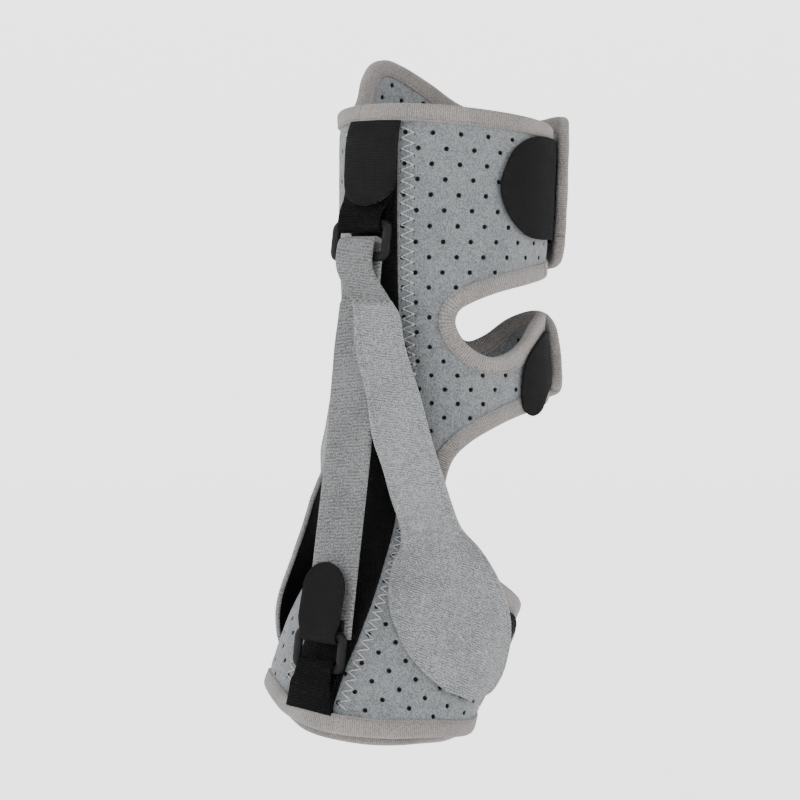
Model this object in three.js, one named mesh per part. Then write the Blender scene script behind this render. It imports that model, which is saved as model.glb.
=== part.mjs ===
import * as THREE from 'three';
import { mergeVertices } from 'three/addons/utils/BufferGeometryUtils.js';

// Worn foot drop brace: a padded felt shell that wraps the lower leg, ankle and midfoot, with a pull
// strap between two rings on its front. Millimetres, +Z up the leg, toes towards -Y, and +X is the side
// whose flaps lie underneath. The origin is on the leg's axis at mid height of the cuff.

// Driving dimensions
const LENGTH = 310; // along the front centre, from the top edge to the toe edge
const CUFF_HALF_WIDTH = 49; // middle of the wall to the leg's axis, sideways
const CUFF_HALF_DEPTH = 50; // and towards the shin
const WALL = 3.6; // padded shell
const BINDING_WIDTH = 8;
const BINDING_THICK = 5.6;
const STRIP_THICK = 1;
const WEB_WIDTH = 26;
const WEB_THICK = 1.2;
const TAB_THICK = 1.4; // hook tabs
const PULL_WIDTH = 27;
const FELT_THICK = 2.4; // pull strap and paddles
const RING_OUTER_WIDTH = 35.5;
const RING_OUTER_HEIGHT = 19;
const RING_BAR = 4.2;
const RING_THICK = 3;
const RING_LEAN = 1.9; // how far a ring's webbing bar leans in towards the shell
const LOWER_RING_WIDTH = 30.5;
const LOWER_WEB_WIDTH = 21;
const GAP = 0.3; // between pieces that touch
const RING_PLAY = 0.5; // between a ring's bar and what goes round it
const FACET_ROUND = 9; // facet size round the leg
const FACET_ALONG = 18; // and along it

// What the sizes give
const DEG = Math.PI / 180;
const TAB_LEVEL = BINDING_THICK / 2 + GAP + TAB_THICK / 2; // middle of a hook tab, above the wall's middle
const FLAP_LIFT = TAB_LEVEL + TAB_THICK / 2 + GAP + BINDING_THICK / 2; // upper flaps, where they overlap
const STRIP_LEVEL = WALL / 2 + GAP + STRIP_THICK / 2;
const WEB_LEVEL = STRIP_LEVEL + STRIP_THICK / 2 + GAP + WEB_THICK / 2;
const RING_LEVEL = WEB_LEVEL + WEB_THICK / 2 + RING_PLAY + RING_THICK / 2 + RING_LEAN;
const PADDLE_LEVEL = WALL / 2 + GAP + FELT_THICK / 2;

// Cross-sections of the wall's middle, from above the top edge down to past the toes. run, out and down
// are shares of LENGTH, half_x of CUFF_HALF_WIDTH, front and back of CUFF_HALF_DEPTH; degrees elsewhere.
// out and down are counted from the origin, and run from the top edge.
const SECTIONS = table(`
   run    out     down   half_x front back  tilt turn
  -0.129  0.003   0.252  1.020  1.00  0.96   5.5  0
   0     -0.006   0.123  1.000  1.00  0.96   5.5  0
   0.129 -0.010   0.000  0.980  1.00  0.96   2.0  0
   0.258 -0.013  -0.129  0.939  0.98  0.96   0.0  0
   0.355 -0.010  -0.226  0.898  0.96  0.94   0.0  0
   0.452  0.000  -0.323  0.857  0.98  0.98   2.0  0
   0.548  0.000  -0.419  0.837  1.00  1.08   5.0  0
   0.645 -0.016  -0.516  0.878  0.98  1.04  12.0  0
   0.742 -0.065  -0.610  1.000  0.92  0.92  20.0  1
   0.839 -0.119  -0.697  1.102  0.88  0.78  24.0  3
   0.968 -0.174  -0.813  1.143  0.82  0.66  25.0  5
   1.065 -0.216  -0.900  1.163  0.78  0.62  25.0  6
`);

// Finished edge of the shell laid flat: angle round the leg from the front centre, positive towards +X,
// and run as a share of LENGTH. It goes round once, +X flaps first, then up the other side's flaps.
const EDGE = table(`
  angle  run
    0   0.017
   40   0.017
   80   0.018
  120   0.019
  150   0.022
  160   0.034
  164   0.068
  164   0.200
  160   0.244
  148   0.260
  124   0.268
  104   0.275
   82   0.286
   66   0.301
   59   0.313
   57   0.329
   60   0.350
   67   0.370
   78   0.382
   92   0.374
  104   0.355
  113   0.336
  126   0.322
  142   0.320
  150   0.334
  153   0.368
  152   0.412
  144   0.440
  128   0.456
   96   0.473
   79   0.491
   65   0.514
   56   0.541
   52   0.578
   53   0.622
   60   0.664
   75   0.697
   93   0.713
  122   0.727
  144   0.736
  154   0.756
  157   0.800
  155   0.870
  146   0.905
  120   0.934
   79   0.962
   46   0.990
   15   1.003
   -8   0.994
  -37   0.963
  -62   0.950
  -90   0.972
 -118   0.994
 -150   0.988
  -180   0.962
  -196   0.946
  -205   0.925
  -209   0.885
  -209   0.800
  -205   0.762
  -196   0.748
  -182   0.740
 -160   0.729
 -143   0.713
 -131   0.680
 -125   0.630
 -122   0.575
 -126   0.530
 -140   0.494
 -165   0.466
  -194   0.450
  -207   0.440
  -214   0.416
  -216   0.384
  -212   0.350
  -202   0.328
  -188   0.317
 -168   0.330
 -152   0.360
 -142   0.368
 -136   0.350
 -137   0.316
 -144   0.290
 -160   0.270
  -188   0.254
  -208   0.248
  -219   0.234
  -224   0.200
  -224   0.036
  -219   0.001
  -206  -0.008
  -180  -0.008
 -160  -0.014
 -139  -0.034
 -121  -0.063
 -104  -0.084
  -91  -0.090
  -81  -0.080
  -74  -0.055
  -69  -0.014
  -60   0.010
  -40   0.017
`);

// Front strip's two edges, round the leg in degrees
const STRIP = table(`
  run    far  near
  0.040  -7.5 24.2
  0.290  -6.5 25.7
  0.600  -6.5 25.5
  0.790  -6.5 25.5
  0.850  -7   24.2
  0.906  -9   21.2
  1.000 -10.7 18.2
`);

// Where each binding ends along EDGE, by row
const BINDINGS = table(`
  first last name
   102   9   top_binding
    10   23  near_window_binding
    24   42  near_heel_binding
    43   56  toe_binding
    57   70  far_heel_binding
    71   86  far_window_binding
    87   90  cuff_flap_binding
    91  101  raised_corner_binding
`);

// A paddle strap from the sewn cross stitch down to its round end: angles of its two edges, how far
// they stand above the shell's face, and how flat it lies across
const PADDLE_NEAR = table(`
  run   inner outer inner_off outer_off flat
  0.297     8  27.5      11.8      11.8  1
  0.320    10  31.5      13.8      13.4  1
  0.361  12.5  33.5      17.6      15.2  1
  0.439    18  38.5      21.2      15.0  1
  0.500  20.5    43      21.6      14.4  1
  0.560    24    48      18.6      12.2  1
  0.613    27    54      14.4       8.8  0.9
  0.650    30  60.5       9.6       5.4  0.6
  0.676    32    72       5.4       3.2  0.3
  0.700    33    82       3.0       2.4  0
  0.730    31    94       1.6       2.2  0
  0.765  31.5   105       0.8       2.6  0
  0.800    35 112.5       0.4       3.2  0
  0.833    42   115       0.4       3.6  0
  0.862    51   110       0.4       3.2  0
  0.884    63    99       0.4       2.4  0
  0.895    74    90       0.4       2.0  0
`);

// The other one hangs behind the pull strap's back run and stands off the shell at its front edge
const PADDLE_FAR = table(`
  run   inner outer inner_off outer_off flat
  0.300    10   -15       2.6       2.6  1
  0.361     3   -22       3.8       4.0  1
  0.439    -5   -29       5.8       6.8  1
  0.500   -12   -35       8.0       9.2  1
  0.560   -19   -42      10.6      12.4  1
  0.613   -25   -50      13.2      12.0  1
  0.650   -29   -58      14.2      11.5  0.9
  0.676   -32   -66      13.7      10.3  0.8
  0.700   -34   -75      12.6       8.8  0.6
  0.730   -35   -88      11.3       6.2  0.4
  0.765   -37   -98       9.7       3.6  0.2
  0.800   -41  -104       7.7       2.5  0.05
  0.833   -50  -105       5.4       2.4  0
  0.862   -62  -100       3.4       2.4  0
  0.884   -74   -92       2.6       2.4  0
`);

// Rows of a written table as objects, by the names over its columns
function table(text) {
  const rows = text.trim().split('\n').map((line) => line.trim().split(/\s+/));
  const names = rows.shift();
  return rows.map((row) => Object.fromEntries(row.map((cell, i) =>
    [names[i], Number.isNaN(Number(cell)) ? cell : Number(cell)])));
}

// Smooth value of one column at x, by a cubic through the rows that doesn't overshoot
function sample(rows, key, column, x) {
  const last = rows.length - 1;
  let i = 0;
  while (i < last - 1 && x > rows[i + 1][key]) i++;
  const slope = (k) => {
    const step = (j) => (rows[j + 1][column] - rows[j][column]) / (rows[j + 1][key] - rows[j][key]);
    if (k === 0) return step(0);
    if (k === last) return step(last - 1);
    const [a, b] = [step(k - 1), step(k)];
    return a * b <= 0 ? 0 : (2 * a * b) / (a + b);
  };
  const width = rows[i + 1][key] - rows[i][key];
  const t = THREE.MathUtils.clamp((x - rows[i][key]) / width, 0, 1);
  const [p, q] = [rows[i][column], rows[i + 1][column]];
  const [m, n] = [slope(i) * width, slope(i + 1) * width];
  return p + t * (m + t * (3 * (q - p) - 2 * m - n + t * (m + n - 2 * (q - p))));
}

// Section at a run in millimetres: centre, sideways and frontward directions, half sizes
function section(v) {
  const get = (column) => sample(SECTIONS, 'run', column, v / LENGTH);
  const [tilt, turn] = [get('tilt') * DEG, get('turn') * DEG];
  const side = new THREE.Vector3(Math.cos(turn), Math.sin(turn), 0);
  const front = new THREE.Vector3(Math.sin(turn), -Math.cos(turn), 0)
    .multiplyScalar(Math.cos(tilt)).add(new THREE.Vector3(0, 0, Math.sin(tilt)));
  return {
    centre: new THREE.Vector3(0, get('out') * LENGTH, get('down') * LENGTH),
    side, front, halfX: get('half_x') * CUFF_HALF_WIDTH,
    reach: [get('front') * CUFF_HALF_DEPTH, get('back') * CUFF_HALF_DEPTH],
  };
}

// A point of the leg-shaped surface: u is the distance round it (angle times half width), v the run
// from the top, and off the distance outwards from the middle of the wall
function onLeg(u, v, off) {
  const s = section(v);
  const angle = u / CUFF_HALF_WIDTH;
  const [sin, cos] = [Math.sin(angle), Math.cos(angle)];
  const b = cos > 0 ? s.reach[0] : s.reach[1];
  const [nx, ny] = [sin / s.halfX, cos / b];
  const n = Math.hypot(nx, ny);
  return s.centre.clone()
    .addScaledVector(s.side, s.halfX * sin + (off * nx) / n)
    .addScaledVector(s.front, b * cos + (off * ny) / n);
}

// The shell's own surface: its upper flaps rise clear of the ones that they lie over
function onShell(u, v, off) {
  const past = THREE.MathUtils.smoothstep(-u / (CUFF_HALF_WIDTH * DEG), 118, 172);
  return onLeg(u, v, off + FLAP_LIFT * past);
}

// Part of a polygon on one side of a line across axis x or y
function clipped(points, axis, limit, keepAbove) {
  const inside = (p) => (keepAbove ? p[axis] >= limit : p[axis] <= limit);
  const out = [];
  points.forEach((p, i) => {
    const q = points[(i + 1) % points.length];
    if (inside(p)) out.push(p);
    if (inside(p) !== inside(q) && p[axis] !== limit && q[axis] !== limit) {
      const t = (limit - p[axis]) / (q[axis] - p[axis]);
      const cut = p.clone().lerp(q, t);
      cut[axis] = limit;
      out.push(cut);
    }
  });
  return out;
}

// Turns the faces round if the volume that they enclose comes out negative
function oriented(g) {
  const [p, index] = [g.attributes.position, g.index];
  const [a, b, c] = [new THREE.Vector3(), new THREE.Vector3(), new THREE.Vector3()];
  let volume = 0;
  for (let i = 0; i < index.count; i += 3) {
    a.fromBufferAttribute(p, index.getX(i));
    b.fromBufferAttribute(p, index.getX(i + 1));
    c.fromBufferAttribute(p, index.getX(i + 2));
    volume += a.dot(b.cross(c));
  }
  if (volume < 0) {
    for (let i = 0; i < index.count; i += 3) {
      const keep = index.getX(i + 1);
      index.setX(i + 1, index.getX(i + 2));
      index.setX(i + 2, keep);
    }
  }
  g.computeVertexNormals();
  return g;
}

// A flat pattern in (u, v), as thick as given about a level, laid on the surface that place describes.
// It is cut into cells, so that its faces follow the curve, and walled along its outline.
function laid(outline, thick, level, place) {
  const corners = [];
  const known = new Map();
  const number = (p) => {
    const key = `${Math.round(p.x * 1000)},${Math.round(p.y * 1000)}`;
    if (!known.has(key)) known.set(key, corners.push(p) - 1);
    return known.get(key);
  };
  const box = new THREE.Box2().setFromPoints(outline);
  const faces = [];
  for (let i = Math.floor(box.min.y / FACET_ALONG); i * FACET_ALONG < box.max.y; i++) {
    const row = clipped(clipped(outline, 'y', i * FACET_ALONG, true), 'y', (i + 1) * FACET_ALONG, false);
    if (row.length < 3) continue;
    for (let j = Math.floor(box.min.x / FACET_ROUND); j * FACET_ROUND < box.max.x; j++) {
      const cell = clipped(clipped(row, 'x', j * FACET_ROUND, true), 'x', (j + 1) * FACET_ROUND, false);
      const ring = cell.map(number).filter((n, k, all) => n !== all[(k + 1) % all.length]);
      if (ring.length < 3) continue;
      const loop = ring.map((n) => corners[n]);
      if (Math.abs(THREE.ShapeUtils.area(loop)) < 1e-6) continue;
      const flip = THREE.ShapeUtils.area(loop) < 0;
      for (const [a, b, c] of THREE.ShapeUtils.triangulateShape(loop, [])) {
        faces.push(flip ? [ring[a], ring[c], ring[b]] : [ring[a], ring[b], ring[c]]);
      }
    }
  }
  const edges = new Set(faces.flatMap(([a, b, c]) => [`${a},${b}`, `${b},${c}`, `${c},${a}`]));
  const count = corners.length;
  const index = faces.flatMap(([a, b, c]) => [a + count, b + count, c + count, a, c, b]);
  for (const edge of edges) {
    const [a, b] = edge.split(',').map(Number);
    if (!edges.has(`${b},${a}`)) index.push(a, b, b + count, a, b + count, a + count);
  }
  const points = [-0.5, 0.5].flatMap((side) =>
    corners.map((p) => place(p.x, p.y, level + side * thick)));
  return solid(points, index);
}

function solid(points, index) {
  const g = new THREE.BufferGeometry().setFromPoints(points);
  g.setIndex(index);
  return oriented(g);
}

// A closed sheet from a grid of pairs of points, one on each face
function sheet(grid) {
  const [rows, columns] = [grid.length, grid[0].length];
  const at = (i, j, face) => (i * columns + j) * 2 + face;
  const index = [];
  const quad = (a, b, c, d) => index.push(a, b, c, a, c, d);
  for (let i = 0; i < rows - 1; i++) {
    for (let j = 0; j < columns - 1; j++) {
      quad(at(i, j, 1), at(i, j + 1, 1), at(i + 1, j + 1, 1), at(i + 1, j, 1));
      quad(at(i, j, 0), at(i + 1, j, 0), at(i + 1, j + 1, 0), at(i, j + 1, 0));
    }
    quad(at(i, 0, 0), at(i, 0, 1), at(i + 1, 0, 1), at(i + 1, 0, 0));
    quad(at(i, columns - 1, 1), at(i, columns - 1, 0), at(i + 1, columns - 1, 0), at(i + 1, columns - 1, 1));
  }
  for (let j = 0; j < columns - 1; j++) {
    quad(at(0, j, 0), at(0, j + 1, 0), at(0, j + 1, 1), at(0, j, 1));
    quad(at(rows - 1, j, 1), at(rows - 1, j + 1, 1), at(rows - 1, j + 1, 0), at(rows - 1, j, 0));
  }
  return solid(grid.flat(2), index);
}

// A strap along stations, each a middle point and a direction across. Where a station has a bent value
// above 0, its cross-section leaves the straight line for the leg's curve at that station's spot.
function strap(stations, width, thick) {
  const columns = Math.ceil(width / FACET_ROUND) + 1;
  const last = stations.length - 1;
  return sheet(stations.map((s, i) => {
    const along = stations[Math.min(i + 1, last)].p.clone().sub(stations[Math.max(i - 1, 0)].p);
    const out = s.across.clone().cross(along).normalize();
    const wide = s.width ?? width;
    return Array.from({ length: columns }, (_, j) => {
      const x = wide * (j / (columns - 1) - 0.5);
      const p = s.p.clone().addScaledVector(s.across, x);
      if (s.bent) p.lerp(onLeg(s.spot.u + x, s.spot.v, s.spot.off), s.bent);
      return [-0.5, 0.5].map((side) => p.clone().addScaledVector(out, side * thick * s.face));
    });
  }));
}

// A line moved sideways by a distance, each point along the mean of its neighbours' normals
function offsetLine(points, distance, closed = false) {
  const n = points.length;
  return points.map((point, i) => {
    const before = points[closed ? (i + n - 1) % n : Math.max(i - 1, 0)];
    const after = points[closed ? (i + 1) % n : Math.min(i + 1, n - 1)];
    const along = after.clone().sub(before).normalize();
    return new THREE.Vector2(point.x - along.y * distance, point.y + along.x * distance);
  });
}

// Half a turn round a bar in (up, out), as points from its back to its front or the other way round
function halfTurn(up, radius, from, to, steps = 6) {
  return Array.from({ length: steps + 1 }, (_, i) => {
    const a = THREE.MathUtils.lerp(from, to, i / steps);
    return [up + radius * Math.sin(a), radius * Math.cos(a)];
  });
}

// Shell outline in millimetres, evenly spaced, with the rows that the bindings start from
const rowPoints = EDGE.map((row) =>
  new THREE.Vector3(row.angle * DEG * CUFF_HALF_WIDTH, row.run * LENGTH, 0));
const edgeCurve = new THREE.CatmullRomCurve3(rowPoints, true, 'centripetal');
const PER_ROW = 3;
const edgeLine = edgeCurve.getPoints(EDGE.length * PER_ROW).slice(0, -1)
  .map((p) => new THREE.Vector2(p.x, p.y));
const turnsLeft = THREE.ShapeUtils.area(edgeLine) > 0 ? 1 : -1;
const inset = (distance) => offsetLine(edgeLine, distance * turnsLeft, true);

// Share of the binding's width from the outer edge, and its thickness there
const BINDING_ROUND = [[0, 0.45], [0.22, 1], [1, 0.86]];

function bindingPiece(first, last) {
  const inner = inset(BINDING_WIDTH);
  const count = edgeLine.length;
  const from = first * PER_ROW;
  const to = ((last < first ? last + EDGE.length : last) + 1) * PER_ROW;
  const pick = (line) => Array.from({ length: to - from + 1 }, (_, i) => line[(from + i) % count].clone());
  const lines = [pick(edgeLine), pick(inner)];
  for (const line of lines) {
    const end = line.length - 1;
    line[end].sub(line[end].clone().sub(line[end - 1]).setLength(GAP));
  }
  return sheet(lines[0].map((outer, i) => BINDING_ROUND.map(([across, share]) => {
    const p = outer.clone().lerp(lines[1][i], across);
    return [-0.5, 0.5].map((side) => onShell(p.x, p.y, side * share * BINDING_THICK));
  })));
}

// Where the toe edge lies at an angle, for what is sewn under its binding
function toeEdge(angle) {
  const rows = EDGE.slice(44, 51).map((row) => ({ angle: -row.angle, run: row.run }));
  return sample(rows, 'angle', 'run', -angle) * LENGTH;
}

const TOP_EDGE = EDGE[0].run * LENGTH;
const UNDER_TOP = TOP_EDGE + BINDING_WIDTH + GAP; // what is sewn under the top binding starts here
const UNDER_TOE = BINDING_WIDTH + GAP; // and ends this far from the toe edge
const arc = (degrees) => degrees * DEG * CUFF_HALF_WIDTH;

// Rings: both lie along the line that the pull strap takes between them
const UPPER = { run: 0.211 * LENGTH, angle: 8 };
const LOWER = { run: 0.892 * LENGTH, angle: 9 };
const FRONT_ANGLE = 10; // middle of what is sewn under the top binding
const TOE_ANGLE = 7; // and under the toe binding
const RING_HALF = RING_OUTER_HEIGHT / 2;
const ringSpots = [UPPER, LOWER].map((ring) => onLeg(arc(ring.angle), ring.run, RING_LEVEL));
const pull = ringSpots[0].clone().sub(ringSpots[1]).normalize();

function ring(width, height) {
  const rounded = (w, h, r) => {
    const s = new THREE.Shape();
    s.absarc(w / 2 - r, h / 2 - r, r, 0, Math.PI / 2);
    s.absarc(r - w / 2, h / 2 - r, r, Math.PI / 2, Math.PI);
    s.absarc(r - w / 2, r - h / 2, r, Math.PI, 1.5 * Math.PI);
    s.absarc(w / 2 - r, r - h / 2, r, 1.5 * Math.PI, 2 * Math.PI);
    return s;
  };
  const shape = rounded(width, height, RING_BAR * 0.8);
  shape.holes.push(rounded(width - 2 * RING_BAR, height - 2 * RING_BAR, RING_BAR * 0.25));
  const bevel = RING_THICK / 3;
  const g = new THREE.ExtrudeGeometry(shape, {
    depth: RING_THICK - 2 * bevel, curveSegments: 3,
    bevelSize: bevel, bevelThickness: bevel, bevelOffset: -bevel, bevelSegments: 1,
  });
  g.translate(0, 0, bevel - RING_THICK / 2);
  g.deleteAttribute('uv');
  g.deleteAttribute('normal');
  return oriented(mergeVertices(g, 1e-4));
}

// A ring's place: x across, y along the pull towards the knee, z outwards
function ringFrame(ring, middle) {
  const u = arc(ring.angle);
  const side = onLeg(u + 1, ring.run, 0).sub(onLeg(u - 1, ring.run, 0));
  const out = side.cross(pull).normalize();
  return new THREE.Matrix4().makeBasis(pull.clone().cross(out), pull, out).setPosition(middle);
}
const upperFrame = ringFrame(UPPER, ringSpots[0]);
const lowerFrame = ringFrame(LOWER, ringSpots[1]);

// Strap stations from a path of [up, out] pairs in a ring's frame
function onRing(frame, path, face = 1) {
  const across = new THREE.Vector3().setFromMatrixColumn(frame, 0);
  return path.map(([up, out, width]) =>
    ({ p: new THREE.Vector3(0, up, out).applyMatrix4(frame), across, face, width }));
}

// Strap stations on the leg's surface itself, from [run, level] pairs at an angle
function onSurface(angle, path, face = 1) {
  const u = arc(angle);
  return path.map(([v, off, bent = 1]) => ({
    p: onLeg(u, v, off),
    across: onLeg(u + 1, v, off).sub(onLeg(u - 1, v, off)).normalize(),
    face, bent, spot: { u, v, off },
  }));
}

const felt = new THREE.MeshStandardMaterial({ color: 0x8b8e90, roughness: 0.95, metalness: 0 });
const paddleFelt = new THREE.MeshStandardMaterial({ color: 0x9a9b9d, roughness: 0.95, metalness: 0 });
const tape = new THREE.MeshStandardMaterial({ color: 0x8f8b88, roughness: 0.9, metalness: 0 });
const web = new THREE.MeshStandardMaterial({ color: 0x121212, roughness: 0.85, metalness: 0 });
const hook = new THREE.MeshStandardMaterial({ color: 0x252525, roughness: 0.8, metalness: 0 });
const plastic = new THREE.MeshStandardMaterial({ color: 0x1f1f1f, roughness: 0.45, metalness: 0 });

const brace = new THREE.Group();
function piece(name, geometry, material) {
  const mesh = new THREE.Mesh(geometry, material);
  mesh.name = name;
  brace.add(mesh);
  return mesh;
}

// Shell and bindings
piece('shell', laid(inset(BINDING_WIDTH + GAP), WALL, 0, onShell), felt);
for (const row of BINDINGS) piece(row.name, bindingPiece(row.first, row.last), tape);

// Front strip, from the top binding to the toe binding
const stripEnd = (angle) => toeEdge(angle) - UNDER_TOE - 1;
const stripSide = (side) => Array.from({ length: 15 }, (_, i) => {
  const angle = sample(STRIP, 'run', side, 1);
  const v = THREE.MathUtils.lerp(UNDER_TOP, stripEnd(angle), i / 14);
  return new THREE.Vector2(arc(sample(STRIP, 'run', side, v / LENGTH)), v);
});
const stripOutline = [...stripSide('near'), ...stripSide('far').reverse()];
piece('centre_strip', laid(stripOutline, STRIP_THICK, STRIP_LEVEL, onLeg), web);

// Webbing that runs on the shell under a ring's far bar, round it and back over itself
const webTurn = RING_THICK / 2 + RING_PLAY + WEB_THICK / 2;
const ringWeb = (width, stations) => strap(stations, width, WEB_THICK);
const barUp = RING_HALF - RING_BAR / 2 + (RING_THICK - RING_BAR) / 2;

const upperTop = UPPER.run - RING_HALF; // run at the upper ring's far bar
const OVER_WEB = WEB_LEVEL + WEB_THICK + GAP;
const NEAR_RING = (FRONT_ANGLE + UPPER.angle) / 2;
const TIP_ANGLE = FRONT_ANGLE + 3; // the tongue leans a little towards the near side
piece('upper_webbing', ringWeb(WEB_WIDTH, [
  ...onSurface(FRONT_ANGLE, [[UNDER_TOP, WEB_LEVEL], [UNDER_TOP + 9, WEB_LEVEL],
    [UNDER_TOP + 18, WEB_LEVEL]]),
  ...onSurface(NEAR_RING, [[upperTop - 14, WEB_LEVEL + 0.4], [upperTop - 8, WEB_LEVEL + 0.8, 0.7]]),
  ...onRing(upperFrame, [[RING_HALF + 0.6, -webTurn], ...halfTurn(barUp, -webTurn, 0, Math.PI),
    [RING_HALF + 0.6, webTurn]]),
  ...onSurface(NEAR_RING, [[upperTop - 8, OVER_WEB + 1.8, 0.7], [upperTop - 14, OVER_WEB + 0.6]]),
]), web);
const upperRing = piece('upper_ring', ring(RING_OUTER_WIDTH, RING_OUTER_HEIGHT), plastic);
upperRing.applyMatrix4(upperFrame);

// Half width of a tongue's round end, as a share, at steps towards its tip
const roundEnd = Array.from({ length: 8 }, (_, i) => Math.cos((Math.PI / 2) * (i / 7.25)));
const tip = (i, half) => half * Math.sin((Math.PI / 2) * (i / 7.25));

const TONGUE_WIDTH = WEB_WIDTH + 2;
const TONGUE_LENGTH = 37;
const TONGUE_RISE = 5.4; // where it climbs over the webbing's fold
const tongueLevel = OVER_WEB + WEB_THICK / 2 + GAP + TAB_THICK / 2;
const tongueEnd = UNDER_TOP + TONGUE_LENGTH - TONGUE_WIDTH / 2;
piece('upper_hook_tab', strap([
  ...onSurface(FRONT_ANGLE, [[UNDER_TOP, tongueLevel - 1], [UNDER_TOP + 9, tongueLevel - 0.6],
    [tongueEnd, tongueLevel]]).map((s) => ({ ...s, width: TONGUE_WIDTH })),
  ...roundEnd.slice(1).map((share, i) => {
    const past = tip(i + 1, TONGUE_WIDTH / 2);
    const level = tongueLevel + TONGUE_RISE * (past / (TONGUE_WIDTH / 2)) ** 1.5;
    const angle = THREE.MathUtils.lerp(FRONT_ANGLE, TIP_ANGLE, past / (TONGUE_WIDTH / 2));
    return { ...onSurface(angle, [[tongueEnd + past, level]])[0], width: share * TONGUE_WIDTH };
  }),
], TONGUE_WIDTH, TAB_THICK), hook);

// Lower ring and its webbing, which goes under the toe binding
const lowerBottom = LOWER.run + RING_HALF;
const lowerEnd = stripEnd(TOE_ANGLE);
const TOE_WIDTH = LOWER_WEB_WIDTH + 2.5;
const wide = (stations) => stations.map((s) => ({ ...s, width: TOE_WIDTH }));
const NEAR_TOE = (LOWER.angle + TOE_ANGLE) / 2;
const middleOf = (a, b) => (a + b) / 2;
piece('lower_webbing', ringWeb(LOWER_WEB_WIDTH, [
  ...wide(onSurface(TOE_ANGLE, [[lowerEnd, WEB_LEVEL]])),
  ...onSurface(NEAR_TOE, [[middleOf(lowerEnd, lowerBottom), WEB_LEVEL + 1.4, 0.7]]),
  ...onRing(lowerFrame, [[-RING_HALF - 0.4, -webTurn], ...halfTurn(-barUp, -webTurn, 0, -Math.PI),
    [-RING_HALF - 0.4, webTurn]]),
  ...onSurface(NEAR_TOE, [[middleOf(lowerEnd, lowerBottom), OVER_WEB + 2.6, 0.7]]),
  ...wide(onSurface(TOE_ANGLE, [[lowerEnd, OVER_WEB + 0.6]])),
]), web);
const lowerRing = piece('lower_ring', ring(LOWER_RING_WIDTH, RING_OUTER_HEIGHT), plastic);
lowerRing.applyMatrix4(lowerFrame);

// Pull strap: from its end behind the lower ring's near bar, up the front, over the upper ring's near
// bar and down to the cross stitch, where the near paddle goes on from its end
const FELT_BACK = -(RING_THICK / 2 + RING_PLAY + GAP + TAB_THICK + FELT_THICK / 2);
const foldTurn = RING_THICK / 2 + RING_PLAY + FELT_THICK / 2;
const foldUp = barUp - 4.4; // the felt stands loose over the upper ring's near bar
const FOLD_WIDTH = 22;
const SAG = 1.6; // of the back run, towards the shell
const runSteps = 16;
const backRun = Array.from({ length: runSteps }, (_, i) => {
  const t = (i + 1) / (runSteps + 1);
  const [a, b] = [lowerFrame, upperFrame].map((m) => new THREE.Vector3().setFromMatrixColumn(m, 0));
  const [c, d] = [lowerFrame, upperFrame].map((m) => new THREE.Vector3().setFromMatrixColumn(m, 2));
  const across = a.lerp(b, t).normalize();
  const out = c.lerp(d, t).normalize();
  const level = THREE.MathUtils.lerp(FELT_BACK, -foldTurn, t) - SAG * Math.sin(Math.PI * t) ** 2;
  return {
    p: new THREE.Vector3().lerpVectors(ringSpots[1], ringSpots[0], 0.06 + 0.86 * t)
      .addScaledVector(out, level),
    across, face: 1,
    width: THREE.MathUtils.lerp(PULL_WIDTH, FOLD_WIDTH, THREE.MathUtils.smoothstep(t, 0.75, 1)),
  };
});
const paddleTop = (() => {
  const top = PADDLE_NEAR[0];
  const edge = ['inner', 'outer'].map((side) => onLeg(arc(top[side]), top.run * LENGTH - FELT_THICK / 2,
    PADDLE_LEVEL + top[`${side}_off`]));
  const across = edge[1].clone().sub(edge[0]);
  return { p: edge[0].lerp(edge[1], 0.5), width: across.length(), across: across.normalize(), face: 1 };
})();
piece('pull_strap', strap([
  ...onRing(lowerFrame, [[RING_HALF - RING_BAR + 1, FELT_BACK], [RING_HALF, FELT_BACK]]),
  ...backRun,
  ...onRing(upperFrame, [[-barUp - 3, -foldTurn], ...halfTurn(-foldUp, -foldTurn, 0, -Math.PI),
    [-barUp - 4, foldTurn]].map((spot) => [...spot, FOLD_WIDTH])),
  paddleTop,
], PULL_WIDTH, FELT_THICK), paddleFelt);

// Hook tab sewn to the strap's end, folded round the lower ring's near bar and up over the strap
const tabTurn = RING_THICK / 2 + RING_PLAY + TAB_THICK / 2;
const LOWER_TAB_WIDTH = 25;
const RING_TAB_WIDTH = 21; // where it goes through the ring
const LOWER_TAB_LENGTH = 40; // from the ring's middle to the tip
const tabStraight = LOWER_TAB_LENGTH - LOWER_TAB_WIDTH / 2;
piece('lower_hook_tab', strap([
  ...onRing(lowerFrame, [[RING_HALF + 5, -tabTurn, RING_TAB_WIDTH],
    ...halfTurn(barUp, -tabTurn, 0, Math.PI).map((spot) => [...spot, RING_TAB_WIDTH]),
    [RING_HALF + 5, tabTurn - 0.2], [tabStraight, tabTurn - 1.2],
    ...roundEnd.slice(1).map((share, i) => [tabStraight + tip(i + 1, LOWER_TAB_WIDTH / 2),
      tabTurn - 1.2 - 0.1 * i, share * LOWER_TAB_WIDTH])]),
], LOWER_TAB_WIDTH, TAB_THICK), hook);

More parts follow.
